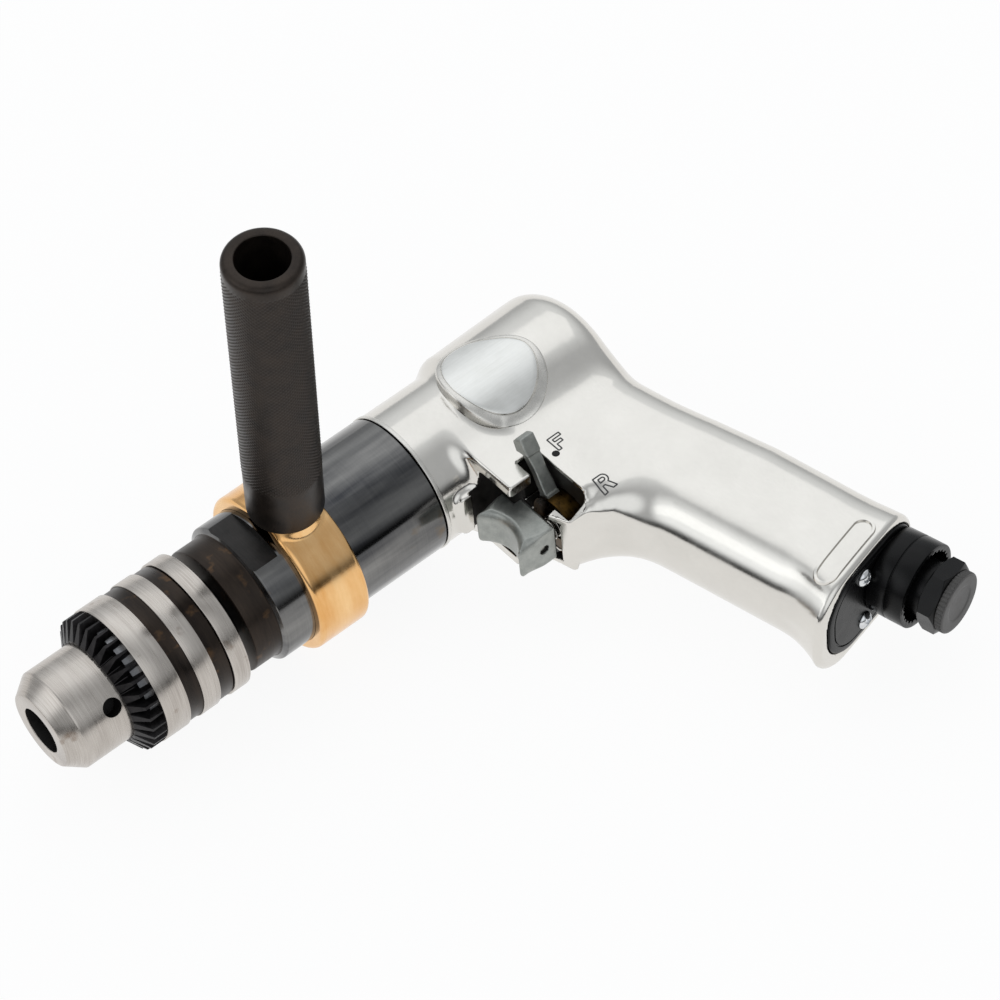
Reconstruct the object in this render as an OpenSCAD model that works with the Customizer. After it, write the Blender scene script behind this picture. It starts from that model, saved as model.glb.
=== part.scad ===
// Pistol-grip air drill with a keyed three-jaw chuck and a side handle, in millimetres.
// The origin is the centre of the chuck's mouth, +X points out of the chuck along the spindle,
// +Y runs down the grip and +Z is the tool's left side, which faces up as the drill lies.

/* [Chuck] */
// Diameter over the chuck's bright lands
chuck_d = 43; // [42:0.5:46]
// Diameter of the bright nose
nose_d = 31; // [29:0.5:33]
// Diameter of the flat ring round the mouth
mouth_face_d = 23.3; // [21:0.1:25]
// Diameter of the mouth
mouth_d = 14.3; // [13.8:0.1:15]
// Length of the plain ring inside the mouth
mouth_lip = 10; // [8:0.1:11]
// Length of the cone at the front of the nose
nose_cone_l = 5.2; // [3:0.1:7]
// Length of the nose from the mouth to the key teeth
nose_l = 19.6; // [18.5:0.1:22]
// Length of the ring of key teeth
teeth_l = 7.4; // [6:0.1:9]
// Length of the bevel on the key teeth
teeth_bevel = 2.6; // [2:0.1:3.5]
// Number of key teeth
key_teeth = 36; // [24:1:40]
// Depth of the key teeth
key_tooth_depth = 2.2; // [1:0.1:3]
// Width of the front land
land_1_w = 8; // [6:0.1:10]
// Width of the middle land
land_2_w = 5.8; // [4:0.1:8]
// Width of the rear land
land_3_w = 5.8; // [5:0.1:8]
// Width of the black grooves between the lands
groove_w = 4.6; // [3:0.1:6]
// Depth of the black grooves
groove_depth = 0.5; // [0.2:0.1:1]
// Diameter of the three key pilot holes
key_hole_d = 5.6; // [5:0.1:6.5]
// Depth of the key pilot holes
key_hole_l = 5; // [3:0.1:6]
// Distance of the key pilot holes from the mouth
key_hole_back = 16.2; // [13:0.1:16.4]
// Angle of the first key pilot hole round the chuck
key_angle = 32.6; // [0:0.1:60]
// Diameter of a jaw
jaw_d = 6.8; // [6:0.1:7.2]
// Length of a jaw
jaw_l = 30; // [28:0.5:31]
// Angle of a jaw to the spindle
jaw_tilt = 14; // [13:0.5:15]
// Distance of a closed jaw's centre line from the spindle at the mouth
jaw_offset = 1.2; // [1:0.1:1.5]
// How far the jaws are drawn back from closed
jaw_back = 14; // [2:0.5:24]
// Furthest that the jaws are drawn back
jaw_travel = 25.5; // [24.5:0.5:26]
// Diameter of the screw that holds the chuck
chuck_screw_d = 6; // [5:0.5:7]

/* [Gear housing] */
// Diameter of the gear housing
housing_d = 43.5; // [42:0.5:46]
// How far the housing's front step is set in from the housing's side
nose_step = 2.1; // [1.2:0.1:3.4]
// Length of the housing's front step
housing_nose_l = 8.5; // [7:0.1:10]
// Length of the whole gear housing that shows
housing_l = 66.8; // [65:0.1:72]
// Depth of the spanner flats in the housing's side
flats_depth = 2.65; // [2.3:0.05:3.2]
// Length of the spanner flats behind the front step
flats_l = 9; // [6:0.1:9.4]
// Gap between the chuck and the housing
chuck_gap = 3.7; // [2:0.1:5]
// Diameter of the spindle in its bearing
spindle_d = 12; // [11:0.5:13]
// Diameter of the spindle's collar behind the chuck
collar_d = 18; // [16:0.5:20]
// Outer diameter of the front bearing
bearing_d = 28; // [26:0.5:30]
// Width of the front bearing
bearing_w = 8; // [6:0.5:10]
// Wall of the gear housing round the ring gear
housing_wall = 3.55; // [3.2:0.05:4]
// Wall of the ring gear outside its teeth
ring_wall = 1.92; // [1.5:0.01:2.4]
// Width of the gears of the second stage
stage_2_w = 10; // [8:0.5:11]
// Width of the gears of the first stage
stage_1_w = 8; // [6:0.5:9]
// Diameter of a planet pin
planet_pin_d = 4; // [3:0.1:4.4]
// Thickness of the planet carriers' plates
carrier_w = 4; // [3:0.5:5]

/* [Motor] */
// Diameter of the barrel
barrel_d = 49.5; // [48:0.5:53]
// Diameter of the barrel's front collar
barrel_collar_d = 43.4; // [43:0.1:46]
// Length of the barrel's front collar
barrel_collar_l = 21.9; // [19:0.1:24]
// Length of the flare from the collar to the barrel
flare_l = 7.3; // [5:0.1:10]
// Length of the barrel from the gear housing to its rear face
barrel_l = 69.7; // [69.5:0.1:78]
// Radius of the barrel's rear edge
rear_edge_r = 11; // [4:0.5:11.5]
// Bore of the barrel
barrel_bore_d = 40; // [39:0.5:41]
// Length of the spigot that joins the housing to the barrel
spigot_l = 4.4; // [3:0.1:5]
// Length of the motor's cylinder
cylinder_l = 40; // [36:0.5:41]
// Diameter of the rotor
rotor_d = 30.2; // [28:0.1:30.4]
// How far the cylinder's bore is off the spindle
bore_offset = 1.6; // [1:0.1:1.8]
// Diameter of the cylinder's bore
cylinder_bore_d = 34; // [34:0.1:34.6]
// Diameter of the rotor's shaft
rotor_shaft_d = 8; // [7:0.1:8.4]
// Number of vanes
vanes = 5; // [4:1:6]
// Thickness of a vane
vane_w = 1.6; // [1.2:0.1:2.2]
// Outer diameter of the rotor's bearings
rotor_bearing_d = 22; // [19:0.5:24]
// Thickness of the end plate in front of the motor
front_plate_w = 10; // [9:0.5:10.5]
// Thickness of the end plate behind the motor
rear_plate_w = 8; // [7.5:0.5:8.5]

/* [Grip] */
// Lean of the grip from square to the spindle
rake = 12.8; // [9:0.1:16]
// Thickness of the grip
grip_w = 34; // [32:0.5:36]
// Distance of the grip's back from the air inlet's axis
grip_back = 12.8; // [12.4:0.1:14]
// How far the grip's back draws in under the barrel
grip_waist = 2; // [0:0.1:3]
// Distance of the grip's front from the air inlet's axis
grip_front = 30.8; // [30:0.1:33]
// Radius of the grip's back edges
grip_back_r = 12; // [8:0.5:14]
// Radius of the grip's front edges
grip_front_r = 14; // [8:0.5:15]
// How far the end rim stands out at the front
rim_flare = 2.3; // [1.5:0.1:4]
// How far the end rim stands out at the sides
rim_side = 1; // [0.5:0.1:2]
// Length of the end rim
rim_l = 5; // [3:0.1:8]
// Wall of the end rim round the cover
rim_wall = 3; // [2:0.1:3.2]
// Thickness of the cheeks' front edge up to the trigger's slot
cheek_back = 14; // [12:0.5:15]
// Thickness of the finger curve's tip under the trigger
beak_t = 4; // [1.5:0.1:5]
// Thickness of the cheeks' ledges beside the trigger
cheek_t = 4; // [3:0.1:6]
// Length of the tongue on the collar in front of the trigger
tongue_l = 9.3; // [6:0.1:11]
// Width of that tongue
tongue_w = 15; // [12:0.1:18]
// Length of the badge pad along the barrel
badge_l = 29.2; // [26:0.1:31]
// Width of the badge pad
badge_h = 31.5; // [27:0.1:32]
// Height of the badge pad above the barrel
badge_rise = 1.1; // [0.5:0.1:1.5]
// Width of the badge pad's rim
badge_rim = 2.4; // [1.5:0.1:4]

/* [Trigger and reverse] */
// Width of the trigger
trigger_w = 13.8; // [12:0.2:14.2]
// Length of the trigger down the grip
trigger_h = 19.6; // [19:0.1:20]
// Distance of the trigger's upper end from the spindle
trigger_top = 27.4; // [27.2:0.1:27.8]
// Depth of the trigger from front to back
trigger_depth = 12.8; // [11:0.1:13.5]
// Depth of the finger hollow in the trigger
trigger_hollow = 4.2; // [1:0.1:4.5]
// Distance of the throttle's axis from the spindle
throttle_y = 42; // [41.6:0.1:42.4]
// Diameter of the throttle stem
stem_d = 4; // [3:0.1:4.2]
// Diameter of the trigger's cross pin
trigger_pin_d = 3.1; // [2.4:0.1:3.4]
// Diameter of the reverse valve
reverse_d = 18; // [17:0.2:18.4]
// Bore of the reverse valve
reverse_bore_d = 10; // [9.4:0.1:10.6]
// Length of the reverse valve
reverse_l = 22; // [20:0.5:23]
// Wire of the throttle spring
spring_wire = 0.8; // [0.6:0.05:0.9]
// Mean diameter of the throttle spring
spring_d = 6.4; // [6:0.1:7]
// Coils of the throttle spring
spring_coils = 5; // [4:1:5]
// Width of the lever along the spindle
lever_w = 4.4; // [3:0.1:5]
// Thickness of the lever's arm
lever_t = 3; // [2:0.1:3.6]

/* [Air inlet and exhaust] */
// Diameter of the dust plug's head
plug_d = 18.6; // [16:0.1:20]
// Thickness of the dust plug's head
plug_head_l = 2.4; // [2:0.1:2.45]
// Width across the flats of the inlet's hexagon
hex_af = 19; // [18:0.1:20]
// Distance of the hexagon's outer face from the dust plug's face
hex_start = 2.5; // [2.5:0.1:3]
// Distance of the hexagon's inner face from the dust plug's face
hex_end = 8; // [7:0.1:9]
// Diameter of the inlet bush behind the hexagon
neck_d = 16.6; // [15.6:0.1:17]
// Bore of the inlet bush
inlet_bore_d = 11.2; // [10:0.1:12]
// Diameter of the exhaust deflector
deflector_d = 25.6; // [23:0.1:26]
// Distance of the deflector's open end from the dust plug's face
deflector_start = 11; // [10:0.1:12]
// Distance of the end cover's face from the dust plug's face
cover_face = 22.7; // [22:0.1:23]
// Thickness of the end cover
cover_t = 3; // [2:0.1:4]
// Distance of the cover's screws from the inlet's axis toward the front
screw_u = 12.9; // [12:0.1:13.4]
// Half the spacing of the cover's screws
screw_z = 9.35; // [8:0.05:10]
// Diameter of the cover's screws
screw_d = 3; // [2.5:0.1:3.4]
// Diameter of the screws' heads
screw_head_d = 5.4; // [5:0.1:5.6]

/* [Side handle] */
// Diameter of the side handle
handle_d = 21.9; // [20:0.1:24]
// Bore of the side handle
handle_bore_d = 14.7; // [13:0.1:16]
// Distance of the handle's end from the spindle
handle_reach = 133.4; // [110:0.1:160]
// Solid length at the handle's foot
handle_foot = 22; // [18:0.5:30]
// Swing of the handle toward the grip
handle_swing = 5.4; // [0:0.1:30]
// Distance of the band's middle from the mouth
band_back = 87; // [86:0.1:92]
// Width of the band
band_w = 17.2; // [16.5:0.1:19]
// Thickness of the band
band_t = 3.25; // [2.75:0.05:5]
// Height of the band's boss above the band
boss_rise = 1.6; // [0.5:0.1:3]
// Diameter of the band's boss
boss_d = 16; // [14:0.1:17]
// Diameter of the stud that clamps the band
stud_d = 10; // [8:0.1:11]

/* [Hidden] */
$fn = 96;

// Clearances: a running fit, and the gap between pieces that only pass each other
run = 0.05;
gap = 0.3;
// Overlap of a cutting tool past the face that it cuts
over = 1;

// Stations along the spindle, from the mouth backward
x_land_1 = -(nose_l + teeth_l);
x_land_1_end = x_land_1 - land_1_w;
x_land_2 = x_land_1_end - groove_w;
x_land_2_end = x_land_2 - land_2_w;
x_land_3 = x_land_2_end - groove_w;
x_chuck_end = x_land_3 - land_3_w;
x_nose = x_chuck_end - chuck_gap;
x_step = x_nose - housing_nose_l;
x_joint = x_nose - housing_l;
x_rear = x_joint - barrel_l;

// Chuck: the nut's seat and the spindle's thread
x_nut = -(nose_l + 4.9);
nut_w = 6;
sleeve_bore_r = 19;
x_screw_seat = -34;
x_thread = -40;
x_mouth_floor = -27;
tooth_step = 0.5;
head_h = 4;

// Gear housing: bearing, seal and the gear stages
seal_w = 1.5;
x_bearing = x_nose - seal_w;
housing_nose_d = housing_d - 2 * nose_step;
flats_d = housing_d - 2 * flats_depth;
x_bearing_end = x_bearing - bearing_w;
x_shoulder = x_bearing_end - gap;
x_plate_2 = x_joint + 42.3;
x_stage_2 = x_plate_2 - carrier_w - 2 - gap;
x_plate_1 = x_stage_2 - stage_2_w - 1;
x_stage_1 = x_plate_1 - carrier_w - 1;
x_sun_end = x_stage_1 - stage_1_w - 1;
ring_d = housing_d - 2 * housing_wall;
gear_module = (ring_d - 2 * ring_wall) / (36 + 2 * 1.15);
pitch_r = 6 * gear_module;
carry_r = 2 * pitch_r;
ring_pitch_r = 3 * pitch_r;
addendum = 0.8 * gear_module;
dedendum = 1.15 * gear_module;
carrier_r = ring_pitch_r - addendum - gap;

// Motor stack
bore_r = barrel_bore_d / 2;
x_front_plate = x_joint - spigot_l - gap;
x_cylinder = x_front_plate - front_plate_w;
x_cylinder_end = x_cylinder - cylinder_l;
x_rear_plate_end = x_cylinder_end - rear_plate_w;

// Grip frame: u to the front, down the grip along the inlet's axis, z to the left
half_w = grip_w / 2;
inlet_x = x_joint - 84.3;
inlet_y = 139.7;
grip_end = cover_face + 0.3;
rim_front_r = 13;
grip_palm = 70;
grip_neck = 113;
grip_top = 136;
cover_back = cover_face + cover_t;

// Air ways: ports beside the reverse valve, and the muffler's pocket in front of the inlet
port_d = 4;
port_z = 3;
exhaust_z = half_w - 4.6;
bush_floor = hex_end + 12;
bush_l = hex_end + 37;
plug_l = hex_end + 6;
felt_u = neck_d / 2 + 8.2;
felt_half = half_w - 4;
felt_end = cover_back + 34.3;
pocket_end = cover_back + 62.3;

// Trigger pocket
x_cheek = x_joint - cheek_back;
x_pocket = x_cheek - 8;
x_slot = x_pocket - 6;
pocket_top = bore_r + 1.7;
slot_start = throttle_y - 13;
window_top = 35;
beak_top = trigger_top + trigger_h + 1;
beak_drop = beak_top + beak_t;
slot_end = beak_top + 3;
block_start = beak_top - 3.7;
block_half = trigger_w / 2 + 3.6;
x_trigger = x_joint - 18.5;
x_bush = x_pocket - 4.7;
x_reverse_end = x_pocket - reverse_l;
x_bush_end = x_reverse_end - 3.5;
band_d = housing_d + 2 * band_t;
boss_h = band_d / 2 + boss_rise;
handle_foot_h = boss_h + gap;

alu = [0.80, 0.81, 0.82];
steel = [0.36, 0.37, 0.39];
bright = [0.72, 0.71, 0.69];
black = [0.10, 0.10, 0.11];
gold = [0.84, 0.65, 0.30];
brass = [0.72, 0.56, 0.28];
grey = [0.55, 0.56, 0.57];

// A solid turned about the spindle from points of radius and station
module turned(points) {
    rotate([0, 90, 0]) rotate_extrude() polygon(points);
}

module rod(r, x0, x1, y = 0, z = 0) {
    translate([min(x0, x1), y, z]) rotate([0, 90, 0]) cylinder(r = r, h = abs(x1 - x0));
}

module pipe(ro, ri, x0, x1) {
    difference() {
        rod(ro, x0, x1);
        rod(ri, min(x0, x1) - over, max(x0, x1) + over);
    }
}

// The grip's own frame, with the dust plug's face at zero
module in_grip() {
    translate([inlet_x, inlet_y, 0]) rotate([0, 0, rake]) children();
}

module along_grip(s0, s1) {
    translate([0, -s0, 0]) rotate([90, 0, 0]) linear_extrude(s1 - s0) children();
}

module grip_rod(r, s0, s1, u = 0, z = 0) {
    translate([u, -s0, z]) rotate([90, 0, 0]) cylinder(r = r, h = s1 - s0);
}

// Section of the grip: back corners of one radius and front corners of another
module grip_section(u0, u1, h, rb, rf) {
    translate([u0 + rb, -h]) square([u1 - rf - u0 - rb, 2 * h]);
    translate([u0, -(h - rb)]) square([rb, 2 * (h - rb)]);
    translate([u1 - rf, -(h - rf)]) square([rf, 2 * (h - rf)]);
    for (side = [-1, 1]) {
        translate([u0 + rb, side * (h - rb)]) circle(r = rb);
        translate([u1 - rf, side * (h - rf)]) circle(r = rf);
    }
}

// Straight-flanked teeth, thinned for backlash
function tooth_points(n, root, tip, start) = [for (k = [0:n - 1]) for (q = [[root, -9.2], [tip, -3.6],
    [tip, 3.6], [root, 9.2]]) let (a = start + (k * 360 + q[1] * 12) / n) [q[0] * cos(a), q[0] * sin(a)]];

module gear(start, w) {
    linear_extrude(w) polygon(tooth_points(12, pitch_r - dedendum, pitch_r + addendum, start));
}

module planet(x_front, w, angle) {
    difference() {
        translate([x_front - w, 0, 0]) rotate([angle, 0, 0]) translate([0, 0, carry_r])
            rotate([0, 90, 0]) gear(15, w);
        rotate([angle, 0, 0]) rod(planet_pin_d / 2 + run, x_front - w - over, x_front + over, 0, carry_r);
    }
}

module planet_pins(x0, x1) {
    for (angle = [0, 120, 240]) rotate([angle, 0, 0]) rod(planet_pin_d / 2, x0, x1, 0, carry_r);
}

module pin_holes(x0, x1) {
    for (angle = [0, 120, 240]) rotate([angle, 0, 0]) rod(planet_pin_d / 2, x0, x1, 0, carry_r);
}

// Chuck

// Turns a jaw's own axis from the spindle's to its place round the chuck
module in_jaw(angle) {
    rotate([angle, 0, 0]) translate([0, 0, jaw_offset]) rotate([0, jaw_tilt, 0]) children();
}

function jaw_angle(i) = key_angle + 60 + 120 * i - 90;

module chuck_body() {
    color(bright) difference() {
        turned([[0, x_chuck_end], [chuck_d / 2, x_chuck_end], [chuck_d / 2, x_land_3 - gap],
            [sleeve_bore_r - run, x_land_3 - gap], [sleeve_bore_r - run, x_nut - nut_w - gap],
            [11, x_nut - nut_w - gap], [11, x_nut + gap], [nose_d / 2, x_nut + gap],
            [nose_d / 2, -nose_cone_l], [mouth_face_d / 2, 0], [0, 0]]);
        rod(mouth_d / 2, -mouth_lip - over, over);
        rod(mouth_d / 2 + 0.3, x_mouth_floor, -mouth_lip);
        rod(5.3, x_screw_seat, x_mouth_floor + over);
        rod(chuck_screw_d / 2, x_thread - over, x_screw_seat + over);
        rod(spindle_d / 2, x_chuck_end - over, x_thread);
        for (i = [0:2]) {
            in_jaw(jaw_angle(i)) rod(jaw_d / 2 + run, -(jaw_travel + jaw_l + 0.6), -2);
            rotate([key_angle + 120 * i, 0, 0])
                translate([-key_hole_back, nose_d / 2 - key_hole_l, 0])
                    rotate([-90, 0, 0]) cylinder(d = key_hole_d, h = key_hole_l + over);
        }
    }
}

module key_notch() {
    a = 360 / key_teeth;
    rotate([0, 90, 0]) linear_extrude(x_land_1 + nose_l + teeth_l + 40, center = true)
        polygon([[0, 0], [40 * cos(a * 0.28), 40 * sin(a * 0.28)], [40 * cos(a * 0.28), -40 * sin(a * 0.28)]]);
}

module chuck_sleeve() {
    ro = chuck_d / 2;
    rg = ro - groove_depth;
    teeth_r = ro - 0.2;
    bevel_r = nose_d / 2 + 1.6;
    color([0.42, 0.41, 0.40]) difference() {
        turned([[nose_d / 2 + run, -nose_l], [bevel_r, -nose_l], [teeth_r, -nose_l - teeth_bevel],
            [teeth_r, x_land_1 + 0.4], [ro - 0.4, x_land_1 + 0.4], [ro, x_land_1], [ro, x_land_1_end],
            [rg, x_land_1_end], [rg, x_land_2], [ro, x_land_2], [ro, x_land_2_end],
            [rg, x_land_2_end], [rg, x_land_3], [sleeve_bore_r, x_land_3], [sleeve_bore_r, x_nut + gap],
            [nose_d / 2 + run, x_nut + gap]]);
        intersection() {
            for (k = [0:key_teeth - 1]) rotate([k * 360 / key_teeth, 0, 0]) key_notch();
            turned([[bevel_r, -nose_l + over], [teeth_r + 2, -nose_l + over], [teeth_r + 2, x_land_1 + 0.5],
                [teeth_r - key_tooth_depth, x_land_1 + 0.5], [teeth_r - key_tooth_depth, -nose_l - teeth_bevel],
                [bevel_r, -nose_l - key_tooth_depth * 0.6]]);
        }
    }
}

module chuck_nut() {
    front = jaw_offset + tan(jaw_tilt) * -x_nut + jaw_d / 2 / cos(jaw_tilt) + gap;
    back = front + tan(jaw_tilt) * nut_w;
    color(steel) turned([[front, x_nut], [sleeve_bore_r, x_nut], [sleeve_bore_r, x_nut - nut_w],
        [back, x_nut - nut_w]]);
}

module chuck_jaw(i) {
    slide = -jaw_back * cos(jaw_tilt);
    rise = jaw_back * sin(jaw_tilt);
    color(bright) intersection() {
        difference() {
            in_jaw(jaw_angle(i)) rod(jaw_d / 2, -(jaw_back + jaw_l), -jaw_back + 2);
            rod(40, slide, slide + 20);
        }
        rotate([jaw_angle(i), 0, 0]) translate([slide - jaw_l - 10, 0, rise + 0.3]) rotate([0, 90, 0])
            linear_extrude(jaw_l + 30) polygon([[0, 0], [-40, 40 * tan(60)], [-40, -40 * tan(60)]]);
    }
}

module chuck_jaw_a() { chuck_jaw(0); }
module chuck_jaw_b() { chuck_jaw(1); }
module chuck_jaw_c() { chuck_jaw(2); }

module chuck_screw() {
    color(steel) difference() {
        union() {
            rod(5, x_screw_seat, x_screw_seat + head_h);
            rod(chuck_screw_d / 2, x_thread - 8, x_screw_seat + 1);
        }
        rotate([0, 90, 0]) translate([0, 0, x_screw_seat + 1.6]) cylinder(r = 2.9, h = head_h, $fn = 6);
    }
}

// Gear housing and gear train

module gear_housing() {
    r = housing_d / 2;
    rn = housing_nose_d / 2;
    ring_r = ring_d / 2;
    color(steel) difference() {
        turned([[collar_d / 2 + 3, x_nose], [rn - 0.8, x_nose], [rn, x_nose - 0.8], [rn, x_step],
            [r - 0.3, x_step - 1], [r, x_step - 1.4], [r, x_joint], [bore_r, x_joint],
            [bore_r, x_joint - spigot_l], [ring_r, x_joint - spigot_l], [ring_r, x_plate_2 + gap],
            [bearing_d / 2 - 2, x_plate_2 + 6], [bearing_d / 2 - 2, x_bearing_end],
            [bearing_d / 2, x_bearing_end], [bearing_d / 2, x_bearing], [collar_d / 2 + 3, x_bearing]]);
        for (side = [0, 180]) rotate([side, 0, 0]) translate([x_step - flats_l, -r, flats_d / 2])
            cube([flats_l + housing_nose_l + over, 2 * r, r]);
    }
}

module ring_gear() {
    x0 = x_sun_end - 0.5;
    x1 = x_stage_2 + 0.5;
    color(steel) difference() {
        rod(ring_d / 2, x0, x1);
        translate([x0 - over, 0, 0]) rotate([0, 90, 0]) linear_extrude(x1 - x0 + 2 * over)
            polygon([for (k = [0:35]) for (q = [[ring_pitch_r + dedendum, -2.5], [ring_pitch_r - addendum, -3.95],
                [ring_pitch_r - addendum, -6.05], [ring_pitch_r + dedendum, -7.5]])
                let (a = 175 + k * 10 - q[1]) [q[0] * cos(a), q[0] * sin(a)]]);
    }
}

module spindle_seal() {
    color(black) pipe(collar_d / 2 + 3, collar_d / 2 + run, x_bearing, x_nose);
}

module front_bearing() {
    color(bright) pipe(bearing_d / 2, spindle_d / 2 + run, x_bearing_end, x_bearing);
}

module spindle() {
    color(steel) difference() {
        union() {
            turned([[0, x_thread - 10.2], [spindle_d / 2, x_thread - 10.2], [spindle_d / 2, x_chuck_end],
                [collar_d / 2, x_chuck_end], [collar_d / 2, x_bearing + gap],
                [spindle_d / 2, x_bearing + gap], [spindle_d / 2, x_shoulder], [8, x_shoulder],
                [8, x_plate_2], [carrier_r, x_plate_2], [carrier_r, x_plate_2 - carrier_w - 2],
                [0, x_plate_2 - carrier_w - 2]]);
            rod(spindle_d / 2, x_thread - 11, x_thread - gap);
        }
        rod(chuck_screw_d / 2, x_thread - 8, x_thread + over);
        pin_holes(x_plate_2 - carrier_w - 2 - over, x_plate_2 - 1);
    }
}

module planet_pins_2() { color(bright) planet_pins(x_stage_2 - stage_2_w - 0.4, x_plate_2 - 1); }
module planet_2a() { color(bright) planet(x_stage_2, stage_2_w, 0); }
module planet_2b() { color(bright) planet(x_stage_2, stage_2_w, 120); }
module planet_2c() { color(bright) planet(x_stage_2, stage_2_w, 240); }

module carrier_1() {
    color(steel) difference() {
        union() {
            translate([x_plate_1 - over, 0, 0]) rotate([0, 90, 0]) gear(0, stage_2_w + 1 + over - gap);
            rod(carrier_r, x_plate_1 - carrier_w, x_plate_1);
        }
        pin_holes(x_plate_1 - carrier_w - over, x_plate_1 - 0.8);
    }
}

module planet_pins_1() { color(bright) planet_pins(x_stage_1 - stage_1_w - 0.4, x_plate_1 - 0.8); }
module planet_1a() { color(bright) planet(x_stage_1, stage_1_w, 0); }
module planet_1b() { color(bright) planet(x_stage_1, stage_1_w, 120); }
module planet_1c() { color(bright) planet(x_stage_1, stage_1_w, 240); }

// Motor

vane_slot_r = rotor_d / 2 - 8;

module rotor() {
    x0 = x_cylinder_end + gap;
    x1 = x_cylinder - gap;
    color(steel) difference() {
        union() {
            rod(rotor_d / 2, x0, x1);
            rod(rotor_shaft_d / 2, x_rear_plate_end + 1, x_sun_end - 2);
            translate([x_sun_end - 3, 0, 0]) rotate([0, 90, 0]) gear(0, stage_1_w + 4 - gap);
        }
        for (k = [0:vanes - 1]) rotate([k * 360 / vanes, 0, 0])
            translate([x0 - over, -vane_w / 2 - 0.1, vane_slot_r])
                cube([x1 - x0 + 2 * over, vane_w + 0.2, rotor_d]);
    }
}

module rotor_vanes() {
    x0 = x_cylinder_end + gap;
    x1 = x_cylinder - gap;
    color([0.45, 0.33, 0.2]) for (k = [0:vanes - 1]) rotate([k * 360 / vanes, 0, 0])
        translate([x0, -vane_w / 2, vane_slot_r]) cube([x1 - x0, vane_w, rotor_d / 2 - vane_slot_r - 0.1]);
}

module motor_cylinder() {
    color(grey) difference() {
        rod(bore_r, x_cylinder_end, x_cylinder);
        rod(cylinder_bore_d / 2, x_cylinder_end - over, x_cylinder + over, -bore_offset, 0);
    }
}

module front_plate() {
    color(grey) difference() {
        rod(bore_r, x_cylinder, x_front_plate);
        rod(rotor_bearing_d / 2, x_cylinder + 3, x_front_plate + over);
        rod(rotor_shaft_d / 2 + 2, x_cylinder - over, x_cylinder + 4);
    }
}

module rear_plate() {
    color(grey) difference() {
        rod(bore_r, x_rear_plate_end, x_cylinder_end);
        rod(rotor_bearing_d / 2, x_rear_plate_end - over, x_cylinder_end - 1.5);
        rod(rotor_shaft_d / 2 + 2, x_cylinder_end - 2, x_cylinder_end + over);
    }
}

module rotor_bearing_front() {
    color(bright) pipe(rotor_bearing_d / 2, rotor_shaft_d / 2 + run, x_cylinder + 3, x_front_plate);
}

module rotor_bearing_rear() {
    color(bright) pipe(rotor_bearing_d / 2, rotor_shaft_d / 2 + run, x_rear_plate_end, x_cylinder_end - 1.5);
}

// Motor housing with its grip

collar_r = barrel_collar_d / 2;
barrel_r = barrel_d / 2;
x_flare = x_joint - barrel_collar_l;
flare_points = [for (k = [0:8]) let (t = k / 8)
    [collar_r + (barrel_r - collar_r) * (1 - cos(180 * t)) / 2, x_flare - flare_l * t]];
edge_points = [for (k = [0:8]) let (a = 90 * k / 8)
    [barrel_r - rear_edge_r + rear_edge_r * cos(a), x_rear + rear_edge_r - rear_edge_r * sin(a)]];

module barrel_solid() {
    turned(concat([[0, x_joint], [collar_r, x_joint]], flare_points, edge_points, [[0, x_rear]]));
}

// Cheeks, beak and finger curve, in front of the grip's shaft
x_beak = x_cheek - 5;
finger = [for (k = [0:8]) let (t = k / 8)
    [x_beak - 1.5 - 18 * t, beak_drop + 4 * t + 8.5 * pow(t, 5)]];

module head_solid() {
    translate([0, 0, -half_w]) linear_extrude(grip_w)
        polygon([[x_slot - 22, 8], [x_cheek, 8], [x_cheek, window_top], [x_pocket, window_top],
            [x_pocket, beak_top], [x_slot - 22, beak_top]]);
    intersection() {
        translate([0, 0, -half_w]) linear_extrude(grip_w)
            polygon(concat([[x_slot - 22, beak_top - 1], [x_pocket, beak_top - 1], [x_pocket, beak_top],
                [x_beak, beak_top], [x_beak, beak_top + 0.5]], finger, [[x_slot - 22, beak_top + 20]]));
        translate([0, beak_top - 2, 0]) rotate([-90, 0, 0]) linear_extrude(30)
            grip_section(x_slot - 40, x_beak, half_w, 2, 6);
    }
    translate([0, 0, -block_half]) linear_extrude(2 * block_half)
        polygon([[x_pocket - 1, block_start], [x_beak + 1, block_start], [x_beak, beak_top],
            [x_beak - 1.5, beak_drop], [x_pocket - 1, beak_drop]]);
    translate([x_cheek - 1, 10, -tongue_w / 2]) cube([tongue_l + 1, collar_r + 0.9 - 10, tongue_w]);
}

module grip_solid() {
    in_grip() {
        intersection() {
            along_grip(grip_end, grip_top) grip_section(-grip_back, grip_front, half_w, grip_back_r, grip_front_r);
            translate([-grip_back, -grip_palm, 0]) rotate([0, 0, atan(grip_waist / (grip_neck - grip_palm))])
                translate([grip_back, grip_palm, 0]) along_grip(grip_end - 20, grip_top + 10)
                    grip_section(-grip_back, grip_front + 20, half_w, grip_back_r, grip_front_r);
        }
        along_grip(grip_end, grip_end + rim_l)
            grip_section(-grip_back + 0.6, grip_front + rim_flare, half_w + rim_side,
                grip_back_r + 1, rim_front_r);
    }
}

// Fillet between the barrel's sides and the grip
neck_r = 6;
neck_y = sqrt(pow(barrel_r + neck_r, 2) - pow(half_w + neck_r, 2));
neck_a = atan2(neck_y, half_w + neck_r);

module neck_solid() {
    translate([x_rear + rear_edge_r, 0, 0]) rotate([90, 0, 90]) linear_extrude(barrel_l - barrel_collar_l - flare_l - rear_edge_r)
        polygon(concat([[neck_y + 6, -half_w], [neck_y + 6, half_w]],
            [for (k = [0:6]) let (a = 180 + neck_a * k / 6)
                [neck_y + neck_r * sin(a), half_w + neck_r + neck_r * cos(a)]],
            [for (k = [6:-1:0]) let (a = 180 + neck_a * k / 6)
                [neck_y + neck_r * sin(a), -half_w - neck_r - neck_r * cos(a)]]));
}

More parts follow.
